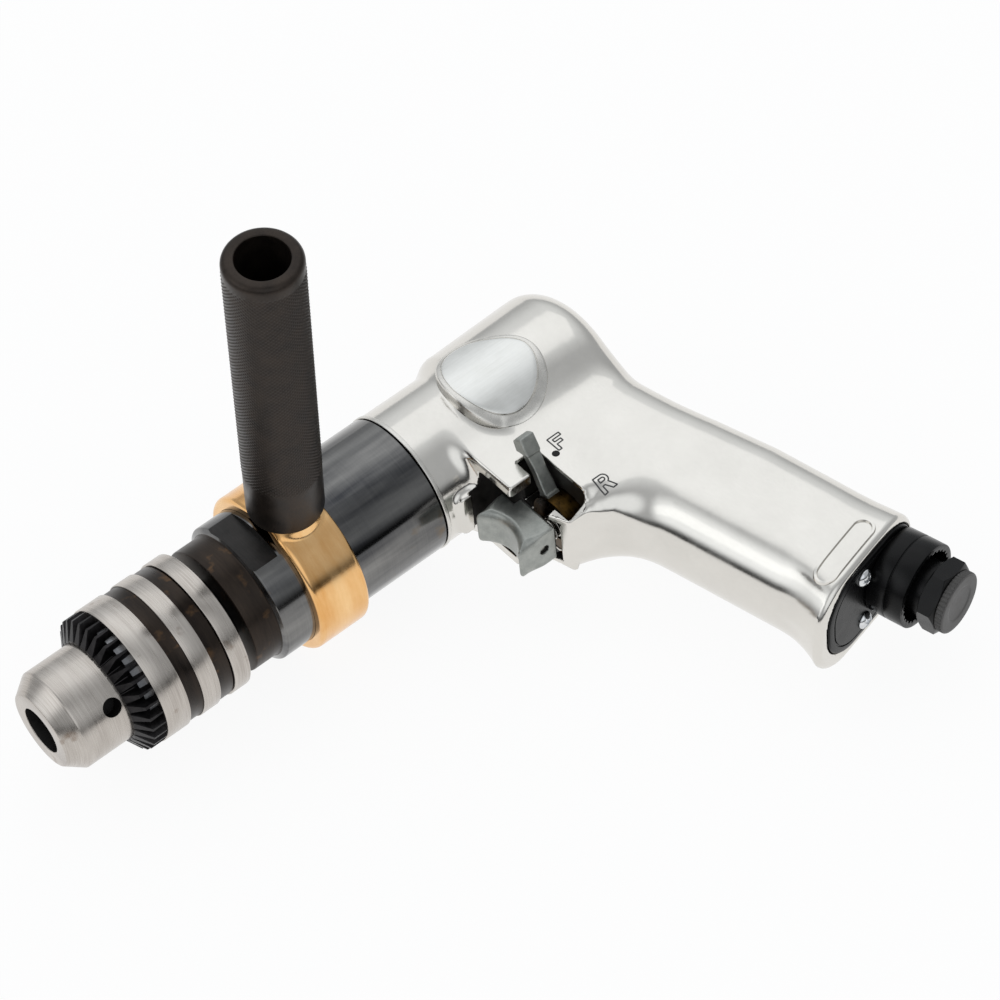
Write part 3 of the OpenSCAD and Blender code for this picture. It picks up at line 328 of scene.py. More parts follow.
def fieldMesh(field, low, high, step):
    # surface where field = 0: one point per cell that it crosses, one quad per grid edge that it crosses
    axes = [np.arange(a, b + step, step) for a, b in zip(low, high)]
    f = field(*np.meshgrid(*axes, indexing="ij")).astype(np.float32)
    inside = f < 0
    n = np.array(f.shape) - 1
    corner = np.array([[i, j, k] for i in (0, 1) for j in (0, 1) for k in (0, 1)])
    count = sum(inside[c[0]:c[0] + n[0], c[1]:c[1] + n[1], c[2]:c[2] + n[2]].astype(np.int8) for c in corner)
    cells = np.argwhere((count > 0) & (count < 8))
    values = np.stack([f[tuple((cells + c).T)] for c in corner], 1)
    total, hits = np.zeros((len(cells), 3)), np.zeros((len(cells), 1))
    for p in range(8):
        for q in range(p + 1, 8):
            if np.abs(corner[p] - corner[q]).sum() == 1:
                cross = (values[:, p] < 0) != (values[:, q] < 0)
                t = values[:, p] / np.where(cross, values[:, p] - values[:, q], 1)
                t = np.where(cross, t, 0)[:, None]
                total += np.where(cross[:, None], corner[p] + t * (corner[q] - corner[p]), 0)
                hits += cross[:, None]
    points = np.array(low) + (cells + total / hits) * step
    number = -np.ones(n, np.int64)
    number[tuple(cells.T)] = np.arange(len(cells))
    quads = []
    for axis in range(3):
        o1, o2 = (axis + 1) % 3, (axis + 2) % 3
        one = np.take(inside, range(n[axis]), axis)
        two = np.take(inside, range(1, n[axis] + 1), axis)
        edge = np.argwhere(one != two)
        keep = (edge[:, o1] > 0) & (edge[:, o2] > 0) & (edge[:, o1] < n[o1]) & (edge[:, o2] < n[o2])
        edge = edge[keep]
        e1, e2 = np.eye(3, dtype=int)[o1], np.eye(3, dtype=int)[o2]
        around = np.stack([number[tuple((edge - d).T)] for d in (0 * e1, e1, e1 + e2, e2)], 1)
        outward = one[tuple(edge.T)]
        quads.append(np.where(outward[:, None], around, around[:, ::-1]))
    quads = np.concatenate(quads)
    h = 0.02

    def slope(p):  # central differences of the field
        return np.stack([field(*(p + h * e).T) - field(*(p - h * e).T) for e in np.eye(3)], 1) / (2 * h)
    for _ in range(4):  # Newton steps onto the surface
        grad = slope(points)
        size = np.maximum((grad ** 2).sum(1), 0.05)
        move = field(*points.T)[:, None] * grad / size[:, None]
        points = points - np.clip(move, -0.6 * step, 0.6 * step)
    grad = slope(points)
    return points, quads, grad / np.maximum(np.linalg.norm(grad, axis=1), 1e-9)[:, None]


def fieldPiece(name, field, low, high, step, mats, body, covers, index=None):
    # index gives each face's finish from its middle and the z of its normal
    points, quads, normals = fieldMesh(field, low, high, step)
    if index:
        index = index(*points[quads].mean(1).T, normals[quads[:, 0], 2])
    piece = newPiece(name, points, quads, mats, body, covers, index, None, normals)
    print(name, len(quads), "quads")
    return piece


# a range eases a change from its first number to its second; a run is a start and a length; a lip is how far
# out it goes and its run
housing = dict(front=-126.3, frontEdge=0.5, collar=21.7, collarEnd=-148.2, flare=7.3, early=(4, 5, 11),
               barrel=24.75, draft=0.7, draftRun=(-158, 25), rear=-196.0, rearEdge=10.0, bore=20.0,
               boreEnd=-190.6, neck=5.0, step=0.72)
grip = dict(half=17.0, left=(-4, 4), top=140, end=23.0, endEdge=2.0, endRange=(41, 25), endMore=0.45,
            roll=13.5, moreLeft=1.2, moreRight=2.7, moreRange=(-2, 18), crown=2.4, crownRun=(4, 27),
            crownRange=(96, 78), lipLeft=(2.8, 43, 18), lipRight=(3.5, 37, 12))
finger = dict(y=51.4, x=-147.0, slope=0.28, rear=-190, top=4, fillet=13.0)
beak = dict(front=-145.6, cheek=-139.4, cheekRange=(38, 44), lean=0.333, leanRange=(44, 54), leanMid=48,
            tight=0.72, tightRange=(-172, -148), noseTight=1.1, noseRange=(-150.5, -146.5), lowRange=(74, 54),
            half=10.0, top=40, topRear=5, rearRange=(-149, -154), facet=-145.5, fall=0.4, curve=0.017, out=9,
            edgeRange=(-151, -156))
tongue = dict(half=7.5, top=6, low=22.7, front=-130.5, rear=-141.5, edge=0.6, noseEdge=2.5, fillet=1.6)
pocket = dict(x=-148.3, front=-135.3, top=21.7, low=44.3, half=13.0, throat=7.9, throatTop=40, throatLow=48.0,
              window=35, through=40, open=-100, edge=0.4, windowEdge=0.5)
slot = dict(x=-154.3, top=29.0, low=50.6, corner=1.8)
valve = dict(y=42.0, r=9.1, end=-170.6)
lid = dict(u=(-10.4, 29.8), half=14.4, back=10.0, front=12.3, cornerRange=(5, 15), floor=25.8, edge=0.9)
# back and front of the grip, as (s, u)
backLine = np.array([(15, -12.0), (24, -12.0), (33, -11.9), (47, -12.4), (67, -13.0), (87, -12.1),
                     (100, -11.1), (113, -10.6), (122, -11.6), (150, -13.0)])
frontLine = np.array([(15, 31.0), (36, 31.0), (67, 30.7), (89, 30.5), (150, 30.5)])


def fingerLine(x):  # underside of the beak, sloping back to the finger curve
    return finger["y"] + finger["slope"] * (finger["x"] - x)


def barrelField(x, y, z):
    # round collar and barrel, joined by a cosine flare, with a little draft to the rounded rear
    h = housing
    far, mid, wide = h["early"]  # on the left, the flare starts early beside the name plate
    begin = h["collarEnd"] + far * np.exp(-((y - mid) / wide) ** 2) * (z > 0)
    flare = (1 - np.cos(math.pi * np.clip((begin - x) / h["flare"], 0, 1))) / 2
    start, run = h["draftRun"]
    radius = h["collar"] + (h["barrel"] - h["collar"]) * flare + h["draft"] * np.clip((start - x) / run, 0, 1)
    return roundCut((np.hypot(y, z) - radius) * 0.9, h["rear"] - x, h["rearEdge"])


def gripField(x, y, z, u, s):
    # side view of the grip and finger curve, given thickness by a superellipse roll, then cut to the beak's
    # faces
    g, f, b = grip, finger, beak
    end = easeStep(s, *g["endRange"])  # 1 at the grip's end
    left = easeStep(z, *g["left"])  # 1 on the left side
    lip = [far * np.clip((start - s) / run, 0, 1) ** 2 for far, start, run in (g["lipLeft"], g["lipRight"])]
    front = np.interp(s, *frontLine.T) + lip[0] * left + lip[1] * (1 - left)
    strip = np.maximum(u - front, np.interp(s, *backLine.T) - 0.2 * end - u)
    strip = np.maximum(strip, s - g["top"])
    curve = np.maximum((y - fingerLine(x)) * 0.97, np.maximum(f["rear"] - x, f["top"] - y))
    outline = softUnion(strip, curve, f["fillet"])
    near = easeStep(x, *b["tightRange"]) * (0.3 + 0.7 * left)  # the roll tightens toward the beak
    near = np.maximum(near, b["noseTight"] * easeStep(x, *b["noseRange"])) * easeStep(y, *b["lowRange"])
    more = g["moreRight"] + (g["moreLeft"] - g["moreRight"]) * left
    more = more * easeStep(u, *g["moreRange"]) * (1 - 0.9 * end)
    edge = (g["roll"] + more) * (1 - b["tight"] * near)
    start, run = g["crownRun"]
    crown = g["crown"] * left * np.clip((u - start) / run, 0, 1) ** 2  # the side falls to the front
    crown = crown * easeStep(s, *g["crownRange"])
    half = g["half"] + g["endMore"] * end - crown * (1 - 0.35 * end)
    lower = swellCut(outline, np.abs(z) - half, edge)
    low = easeStep(y, *b["cheekRange"])
    lean = b["lean"] * (np.clip(y, *b["leanRange"]) - b["leanMid"])
    nose = b["cheek"] + (b["front"] - lean - b["cheek"]) * low
    lower = roundCut(lower, (x - nose) * 0.95, 1.2 - 0.7 * low)
    rear = easeStep(x, *b["rearRange"])
    top = b["top"] + b["topRear"] * rear  # the beak's top is a facet that falls to the front
    run = np.maximum(b["facet"] - x, 0)
    facet = np.abs(z) - b["half"] - b["fall"] * run - b["curve"] * run ** 2
    facet = facet - b["out"] * easeStep(y, top + 4 + 3 * rear, top)
    return roundCut(lower, 0.6 * facet, 0.5 + 3 * easeStep(x, *b["edgeRange"]))


def housingField(x, y, z):
    # barrel and grip joined by a fillet, with a tongue over the trigger, less the bores, the pocket and the
    # lid's seat
    h, t, p, v = housing, tongue, pocket, valve
    u, s = rowToGrip(x, y)
    solid = softUnion(barrelField(x, y, z), gripField(x, y, z, u, s), h["neck"])
    shelf = roundCut(roundCut(np.abs(z) - t["half"], y - t["low"], t["edge"]), x - t["front"], t["noseEdge"])
    solid = softUnion(solid, np.maximum(shelf, np.maximum(t["top"] - y, t["rear"] - x)), t["fillet"])
    solid = roundCut(solid, grip["end"] - s, grip["endEdge"])
    solid = roundCut(solid, x - h["front"], h["frontEdge"])
    solid = np.maximum(solid, -np.maximum(np.hypot(y, z) - h["bore"], h["boreEnd"] - x))
    gate = np.minimum(boxField(x, y, z, (p["x"], p["top"], -p["half"]), (p["front"], p["low"], p["half"])),
                      boxField(x, y, z, (p["x"], p["throatTop"], -p["throat"]),
                               (p["open"], p["throatLow"], p["throat"])))
    window = boxField(x, y, z, (p["x"], p["window"], -p["through"]), (p["open"], p["low"], p["through"]))
    well = roundCut(y - slot["low"], slot["x"] - x, slot["corner"])
    well = np.maximum(well, np.maximum(np.maximum(slot["top"] - y, x - p["x"] - 1), -z))
    throttle = np.maximum(np.hypot(y - v["y"], z) - v["r"], np.maximum(v["end"] - x, x - p["x"] - 0.5))
    solid = roundCut(solid, -window, p["windowEdge"])
    solid = roundCut(solid, -gate, p["edge"])
    solid = roundCut(solid, -well, p["edge"])
    solid = np.maximum(solid, -throttle)
    corner = lid["back"] + (lid["front"] - lid["back"]) * easeStep(u, *lid["cornerRange"])
    seat = roundCut(np.maximum(u - lid["u"][1], lid["u"][0] - u), np.abs(z) - lid["half"], corner)
    return roundCut(solid, -np.maximum(seat, s - lid["floor"]), lid["edge"])


def recessShadeMask(x, y, z, nz):  # 1 on the unpolished faces of the pocket, the slot and the bores, which get the painted shade
    p, v = pocket, valve
    reach = np.where(y < p["low"] + 0.1, p["half"], p["throat"]) + 0.1
    inGate = (x > p["x"] - 0.2) & (x < p["front"] + 0.2) & (y > p["top"] - 0.2) & (y < p["throatLow"] + 0.2)
    inGate = inGate & (np.abs(z) < reach)
    inSlot = (x > slot["x"] - 0.2) & (x < p["x"] + 1.2) & (y > slot["top"] - 0.2) & (y < slot["low"] + 0.2)
    inSlot = inSlot & (z > -0.2) & (z < 15.9) & (np.abs(nz) < 0.5)
    inValve = (np.hypot(y - v["y"], z) < v["r"] + 0.2) & (x < p["x"] + 0.6) & (x > v["end"] - 0.4)
    inBore = (np.hypot(y, z) < housing["bore"] + 0.3) & (x > housing["boreEnd"] - 0.2)
    return (inGate | inSlot | inValve | inBore).astype(int)


# the second finish is painted shade on the faces inside the pocket, the slot and the bores
fieldPiece("motor_housing_shell", housingField, (-221, -27, -27), (-125, 129, 27), housing["step"],
           [castAlu, cavityShadeAlu], "housing", ["motor_housing"], recessShadeMask)


def sideHeight(x, y):  # height of the housing's left side over (x, y), by bisection
    low, high = np.full(x.shape, 12.0), np.full(x.shape, 30.0)
    for _ in range(30):
        mid = (low + high) / 2
        out = housingField(x, y, mid) > 0
        low, high = np.where(out, low, mid), np.where(out, mid, high)
    return (low + high) / 2


# waves: cosine and sine of each harmonic of the outline
badge = dict(centre=(-161.2, 2.5), plate=25.95, lip=25.35, cols=192, raised=0.06,
             waves=((14.97, 0), (1.49, 1.74), (-0.43, -0.65), (-0.62, 0.06)))


def badgePad():
    # rounded triangle: radius from three harmonics, in loops from the edge inward. The plate lies on a
    # cylinder about the barrel's axis; the rim slopes from it to the casting, or to its own lip where the
    # collar drops away
    cols = badge["cols"]
    a = np.arange(cols) * tau / cols
    r = sum(c * np.cos(k * a) + d * np.sin(k * a) for k, (c, d) in enumerate(badge["waves"]))
    inset = np.array([-0.25, -0.25, -0.05, 0.15, 0.4, 1.0, 1.3, 1.38, 1.48, 1.56, 1.8, 2.3])
    share = np.array([0, 0, 0.1, 0.2, 0.32, 0.72, 0.9, 0.86, 0.86, 0.94, 1, 1])  # of the way up to the plate
    lift = np.array([-4, -0.2, 0.25, 0.38, 0.4, 0.16, 0, -0.12, -0.12, 0, 0.03, badge["raised"]])
    wide = 1 + np.clip(np.sin(a), 0, 1)  # the rim is wider toward the lever
    reach = r - inset[:, None] * np.where(inset[:, None] > 0, wide, 1)
    x = badge["centre"][0] + reach * np.cos(a)
    y = badge["centre"][1] + reach * np.sin(a)
    fromAxis = np.sqrt(badge["lip"] ** 2 - y ** 2)
    casting = np.where(y[:1] > 8, np.maximum(sideHeight(x[:1], y[:1]), fromAxis[:1]), fromAxis[:1])
    plate = np.sqrt(badge["plate"] ** 2 - y ** 2)
    z = casting + (plate - casting) * share[:, None] + lift[:, None]
    inner = np.linspace(0.9, 0.0, 9)[:, None]  # the bare plate, drawn in to the middle
    px = badge["centre"][0] + (x[-1:] - badge["centre"][0]) * inner
    py = badge["centre"][1] + (y[-1:] - badge["centre"][1]) * inner
    pz = np.sqrt(badge["plate"] ** 2 - py ** 2) + badge["raised"]
    grid = np.stack([np.concatenate([x, px]), np.concatenate([y, py]), np.concatenate([z, pz])], -1)
    rows = len(grid)
    index = np.repeat(np.where(np.arange(rows - 1) < 9, 0, 1), cols)  # the plate starts at the tenth loop
    return newPiece("badge_pad", grid.reshape(-1, 3), gridFaces(rows, cols), [rimAlu, plateAlu], "housing",
                    ["badge_plate"], index, 20)


badgePad()

collarLip = dict(front=-126.35, rear=-127.6, r=22.0, inner=20.6, foot=21.3, edge=0.22, cols=160)


def turnedLip():
    # plain spun profile at the collar's front edge
    c = collarLip
    rows = softCorners([(c["front"], c["inner"]), (c["front"], c["r"]), (c["rear"], c["r"]),
                        (c["rear"], c["foot"])], c["edge"])
    return newPiece("collar_lip", spun(rows, c["cols"]), gridFaces(len(rows), c["cols"], flip=True), rimAlu,
                    "housing")


turnedLip()


def cutWith(piece, cutters):  # boolean difference, applied, with the cutters removed
    for cutter in cutters:
        mod = piece.modifiers.new("cut", "BOOLEAN")
        mod.operation, mod.solver, mod.object = "DIFFERENCE", "EXACT", cutter
    graph = bpy.context.evaluated_depsgraph_get()
    done = bpy.data.meshes.new_from_object(piece.evaluated_get(graph))
    piece.modifiers.clear()
    old = piece.data
    piece.data = done
    bpy.data.meshes.remove(old)
    for cutter in cutters:
        bpy.data.objects.remove(cutter)


def cutterRod(start, direction, length, radius, segments=56):  # plain rod that only cuts
    a = np.arange(segments) * tau / segments
    d = np.array(direction, float) / np.linalg.norm(direction)
    e = np.cross(d, [0.3, 0.5, 0.8])
    e /= np.linalg.norm(e)
    g = np.cross(d, e)
    ring = radius * (np.cos(a)[:, None] * e + np.sin(a)[:, None] * g)
    verts = np.concatenate([start + ring, start + length * d + ring]) * mm
    mesh = bpy.data.meshes.new("cutter")
    ends = [list(range(segments))[::-1], list(range(segments, 2 * segments))]
    mesh.from_pydata(verts.tolist(), [], gridFaces(2, segments).tolist() + ends)
    return addObject("cutter", mesh)


def cutterBlock(low, high):  # plain block that only cuts
    (a, b, c), (d, e, f) = np.minimum(low, high) * mm, np.maximum(low, high) * mm
    mesh = bpy.data.meshes.new("cutter")
    mesh.from_pydata([(a, b, c), (d, b, c), (d, e, c), (a, e, c), (a, b, f), (d, b, f), (d, e, f), (a, e, f)],
                     [], [(3, 2, 1, 0), (4, 5, 6, 7), (0, 1, 5, 4), (1, 2, 6, 5), (2, 3, 7, 6), (3, 0, 4, 7)])
    return addObject("cutter", mesh)


gear = dict(nose=-59.5, step=-68.0, end=-126.0, noseR=19.65, r=21.75, eye=11.5, wall=9.0, shell=2.75,
            flat=19.1, flatEnd=-77.0, edge=0.45, cols=200)


def gearHousing():
    # turned profile, then two blocks cut the spanner flats on its front
    g = gear
    back, inner, end = g["nose"] - g["wall"], g["r"] - g["shell"], g["end"]
    rows = softCorners([(g["nose"], g["eye"]), (g["nose"], g["noseR"]), (g["step"], g["noseR"]),
                        (g["step"] - 0.8, g["r"]), (end, g["r"]), (end, inner), (back, inner),
                        (back, g["eye"])], g["edge"], 3)
    piece = newPiece("gear_housing_shell", spun(rows, g["cols"]),
                     gridFaces(len(rows), g["cols"], closed=True, flip=True),
                     [bluedSteel, flatOxide, grooveOxide], "housing", ["gear_housing"], sharp=None)
    cutWith(piece, [cutterBlock((g["flatEnd"], -30, side * g["flat"]), (g["step"] - 0.5, 30, side * 30))
                    for side in (1, -1)])
    (nx, _, nz), (x, _, z) = faceData(piece.data)
    milled = (np.abs(nz) > 0.999) & (np.abs(np.abs(z) - g["flat"]) < 0.05)
    milled = milled | (np.abs(nx) > 0.99) & (np.abs(x - g["flatEnd"]) < 0.05)
    browned = x > g["step"] - 0.2  # the nose is browner than the body
    shade(piece.data, np.where(milled, 1, np.where(browned, 2, 0)), 22)
    return piece


gearHousing()
band = dict(x=-87.0, half=8.6, r=25.0, inner=21.85, edge=1.5, boss=8.2, blend=2.6, rise=1.6, most=3.5,
            swing=5.4, cols=320)


def handleBand():
    # ring profile carried round the housing, lifted to a flat boss where the handle stands
    b = band
    flatRows = [(b["x"] + t * (b["half"] - b["edge"]), b["r"]) for t in np.linspace(1, -1, 41)]
    t = np.linspace(0, math.pi / 2, 7)
    side, low = b["x"] + b["half"] - b["edge"], b["r"] - b["edge"]
    frontEdge = [(side + b["edge"] * math.cos(v), low + b["edge"] * math.sin(v)) for v in t[:-1]]
    rearEdge = [(2 * b["x"] - p, q) for p, q in frontEdge[::-1]]
    rows = np.array([(b["x"] + b["half"], b["inner"])] + frontEdge + flatRows + rearEdge
                    + [(b["x"] - b["half"], b["inner"])])
    cols = b["cols"]
    a = np.arange(cols) * tau / cols
    x = np.repeat(rows[:, :1], cols, 1)
    r = np.repeat(rows[:, 1:2], cols, 1)
    tilt = math.radians(90 - b["swing"])
    across = r * np.sin(a - tilt)
    away = np.hypot(x - b["x"], np.where(np.cos(a - tilt) > 0, across, 99))
    wanted = (b["r"] + b["rise"]) / np.maximum(np.cos(a - tilt), 0.3)
    lift = easeStep(away, b["boss"] + b["blend"], b["boss"] - 1)
    r = r + (np.minimum(wanted, b["r"] + b["most"]) - r) * lift
    verts = np.stack([x, r * np.cos(a), r * np.sin(a)], -1).reshape(-1, 3)
    return newPiece("gold_band", verts, gridFaces(len(rows), cols, closed=True, flip=True), goldBand, "band",
                    ["handle_band"], sharp=30)


handleBand()


handle = dict(foot=26.9, top=133.4, r=10.95, bore=7.35, depth=84.5, edge=1.9, knurlFrom=43.0, knurlTo=129.5,
              pitch=1.35, knurl=0.3)


def sideHandle():
    # turned profile along the handle's axis; the knurl is the lesser of two crossed helical waves
    h = handle
    starts = int(round(tau * h["r"] / h["pitch"]))
    cols = starts * 4
    foot = softCorners([(h["foot"], 2.0), (h["foot"], h["r"]), (h["knurlFrom"], h["r"])], 0.9, 5)
    grip = [(v, h["r"]) for v in np.arange(h["knurlFrom"] + 0.3, h["knurlTo"], h["pitch"] / 4)]
    t = np.linspace(0, math.pi * 0.5, 8)
    rim = [(h["top"] - h["edge"] + h["edge"] * math.sin(v), h["r"] - h["edge"] + h["edge"] * math.cos(v))
           for v in t]
    bore = softCorners([(h["top"], h["bore"] + 1.0), (h["top"], h["bore"]),
                        (h["top"] - h["depth"], h["bore"]), (h["top"] - h["depth"] - 3, 0.05)], 0.5)
    rows = np.concatenate([foot, grip, [(h["knurlTo"] + 0.6, h["r"])], rim, bore])
    a = np.arange(cols) * tau / cols
    level, radius = rows[:, :1], rows[:, 1:2]
    turn = a[None, :] * starts
    climb = level * tau / h["pitch"]
    wave = np.minimum(np.abs(np.sin((turn + climb) / 2)), np.abs(np.sin((turn - climb) / 2)))
    worn = easeStep(level, h["knurlFrom"], h["knurlFrom"] + 2.5)  # the knurl runs out at both ends
    worn = worn * easeStep(level, h["knurlTo"], h["knurlTo"] - 1.0)
    outer = (np.abs(radius - h["r"]) < 1e-6) * worn
    r = radius + h["knurl"] * outer * (wave * 1.4 - 0.9)
    lean = math.radians(band["swing"])
    side, over = r * np.cos(a), r * np.sin(a)
    level = np.repeat(level, cols, 1)
    verts = np.stack([band["x"] + side, over * math.cos(lean) + level * math.sin(lean),
                      level * math.cos(lean) - over * math.sin(lean)], -1).reshape(-1, 3)
    return newPiece("knurled_handle", verts, gridFaces(len(rows), cols), handleSteel, "handle",
                    ["side_handle"], sharp=40)


sideHandle()
print("gear housing, band and handle made")


chuck = dict(noseR=15.5, faceR=11.65, cone=-5.2, noseEnd=-24.2, neck=11, hubFront=-30.8, hub=18.95,
             flangeFront=-50.3, end=-55.8, r=21.5, mouth=7.15, mouthEnd=-10, well=7.45, wellEnd=-27, tail=5.3,
             tailEnd=-34, screw=3.05, bore=6.05, boreEnd=-40, keyX=-16.2, keyR=2.8, keyDepth=5.0,
             keyAngle=32.6, jawR=3.45, jawTilt=14.0, jawOffset=1.2, jawLong=54, cols=224)


def chuckNose():
    # turned body with the mouth, the bores behind it and the rear land, then three key holes and three jaw
    # bores
    c = chuck
    outside = [(0, c["faceR"]), (c["cone"], c["noseR"]), (c["noseEnd"], c["noseR"]),
               (c["noseEnd"], c["neck"]), (c["hubFront"], c["neck"]), (c["hubFront"], c["hub"]),
               (c["flangeFront"], c["hub"]), (c["flangeFront"], c["r"]), (c["end"], c["r"])]
    inside = [(c["end"], c["bore"]), (c["boreEnd"], c["bore"]), (c["boreEnd"], c["screw"]),
              (c["tailEnd"], c["screw"]), (c["tailEnd"], c["tail"]), (c["wellEnd"], c["tail"]),
              (c["wellEnd"], c["well"]), (c["mouthEnd"], c["well"])]
    mouth = [(c["mouthEnd"], c["mouth"] + 0.3), (c["mouthEnd"], c["mouth"]), (0, c["mouth"])]
    rows = softCorners(mouth + outside + inside, 0.3, 3)
    piece = newPiece("chuck_nose", spun(rows, c["cols"]), gridFaces(len(rows), c["cols"], closed=True),
                     [groundSteel, boreShadeAndDotBlack], "spindle", ["chuck_body"], sharp=None)
    cutters = []
    for k in range(3):
        a = math.radians(c["keyAngle"] + 120 * k)
        out = np.array([0, math.cos(a), math.sin(a)])
        cutters.append(cutterRod(np.array([c["keyX"], 0, 0]) + out * (c["noseR"] - c["keyDepth"]), out, 9,
                                 c["keyR"]))
        j = math.radians(c["keyAngle"] + 60 + 120 * k)
        up = np.array([0, math.cos(j), math.sin(j)])
        tilt = math.radians(c["jawTilt"])
        back = np.array([-math.cos(tilt), 0, 0]) + up * math.sin(tilt)
        cutters.append(cutterRod(up * c["jawOffset"] + back * 2, back, c["jawLong"], c["jawR"]))
    cutWith(piece, cutters)
    x, y, z = faceData(piece.data)[1]
    skin = np.minimum(c["faceR"] - x * (c["noseR"] - c["faceR"]) / -c["cone"], c["noseR"])
    # key holes, jaw bores and the mouth, which get the painted shade
    boreShadeFaces = (x < -0.5) & (x > c["noseEnd"] - 0.3) & (np.hypot(y, z) < skin - 0.5)
    shade(piece.data, boreShadeFaces, 22)
    return piece


chuckNose()
sleeve = dict(teeth=32, land=21.5, groove=21.0, end=-50.0, neck=16.4, inner=19.02, cols=240,
              lands=((-27.0, -35.0), (-39.6, -45.4)), crest=(0.4, 0.37, 0.12, 0.06), rootHalf=0.03,
              tip=((-19.6, 15.6), (-19.6, 16.4), (-22.6, 21.2), (-26.95, 21.2)),
              root=((-19.6, 15.6), (-19.75, 16.25), (-23.6, 17.7), (-26.95, 16.9)),
              under=((-26.95, 16.5), (-24.0, 15.6)))  # rows of the teeth as (x, radius)


def chuckSleeve():
    # key teeth: crests that narrow outward between V-shaped spaces that deepen outward, all of flat flanks;
    # then the turned lands and grooves
    v = sleeve
    crest = np.array(v["crest"])[:, None]  # half width of the crest in each row, as a share of the pitch
    space = 0.5 + 0 * crest
    at = np.concatenate([-crest, crest, space - v["rootHalf"], space + v["rootHalf"]], 1)
    a = ((np.arange(v["teeth"])[None, :, None] + at[:, None, :]) * tau / v["teeth"]).reshape(4, -1)
    root = np.tile([0, 0, 1, 1], v["teeth"])[None, :, None]
    tooth = np.array(v["tip"])[:, None] * (1 - root) + np.array(v["root"])[:, None] * root
    back = np.repeat(np.array(v["under"])[:, None], a.shape[1], 1)
    ring = np.concatenate([tooth, back])
    a = np.concatenate([a, a[-1:], a[-1:]])
    verts = np.stack([ring[..., 0], ring[..., 1] * np.cos(a), ring[..., 1] * np.sin(a)], -1).reshape(-1, 3)
    faces = gridFaces(len(ring), a.shape[1], closed=True, flip=True)
    l1, l2 = v["lands"]
    high, low = v["land"], v["groove"]
    rows = softCorners([(l1[0], v["neck"]), (l1[0], high), (l1[1], high), (l1[1], low), (l2[0], low),
                        (l2[0], high), (l2[1], high), (l2[1], low), (v["end"], low), (v["end"], v["inner"]),
                        (l1[0] - 0.4, v["inner"])], 0.22, 2)
    mid = (rows[:, 0] + np.roll(rows[:, 0], -1)) / 2
    bright = (mid > l1[1] + 0.02) | ((mid < l2[0]) & (mid > l2[1]))
    bright[-1] = False
    turned = gridFaces(len(rows), v["cols"], closed=True, flip=True, base=len(verts))
    index = np.concatenate([np.zeros(len(faces), int), np.repeat(np.where(bright, 1, 2), v["cols"])])
    verts, faces = np.concatenate([verts, spun(rows, v["cols"])]), np.concatenate([faces, turned])
    return newPiece("chuck_sleeve_ring", verts, faces, [toothOxide, groundSteel, grooveOxide], "sleeve",
                    ["chuck_sleeve"], index, 22)


chuckSleeve()
print("chuck made")


trigger = dict(rear=-144.8, heel=-142.3, heelEnd=32.9, front=-132.0, low=27.4, high=47.0, half=6.9, edge=1.0,
               sideEdge=2.2, edgeRange=(-141, -134), hollow=4.2, hollowMid=37.2, hollowHalf=8.8, hole=1.55,
               holeX=-140.7, holeEnd=34, stem=2.05, stemEnd=-138.3, step=0.36)


def triggerField(x, y, z):
    # block with a hollowed finger face, a stepped back, the stem's bore and a blind hole in its end
    t = trigger
    across = np.clip((y - t["hollowMid"]) / t["hollowHalf"], -1, 1)
    face = x - (t["front"] - t["hollow"] * (1 - across ** 2))
    side = roundCut(roundCut(face * 0.92, t["low"] - y, t["edge"]), y - t["high"], t["edge"])
    side = np.maximum(side, np.where(y < t["heelEnd"], t["heel"], t["rear"]) - x)
    edge = t["edge"] + t["sideEdge"] * easeStep(x, *t["edgeRange"])  # rounder toward the finger
    body = roundCut(side, np.abs(z) - t["half"], edge)
    hole = np.maximum(np.hypot(x - t["holeX"], z) - t["hole"], t["holeEnd"] - y)
    stem = np.maximum(np.hypot(y - valve["y"], z) - t["stem"], x - t["stemEnd"])
    return np.maximum(roundCut(body, -hole, 0.2), -stem)


def holeShadeMask(x, y, z, nz):  # 1 on the walls of the blind hole, which get the painted shade
    t = trigger
    near = np.hypot(x - t["holeX"], z) < t["hole"] + 0.1
    return (near & (y > t["holeEnd"] - 0.5) & (y < t["high"] - 0.3)).astype(int)


fieldPiece("trigger_casting", triggerField, (-146, 25.5, -8.5), (-130.5, 48.5, 8.5), trigger["step"],
           [tumbledZinc, boreShadeAndDotBlack], "trigger", ["trigger"], holeShadeMask)
lever = dict(x=(-153.5, -149.1), turn=30.0, pivot=42.0, foot=9.35, top=28.2, thick=1.5, wide=2.2,
             waist=(0.25, 17, 4.0), edge=0.35, padWide=2.5, padDeep=1.1, padLong=5.2, padEdge=0.45,
             footHalf=2.05, footEnds=(7.9, 9.7), step=0.3)


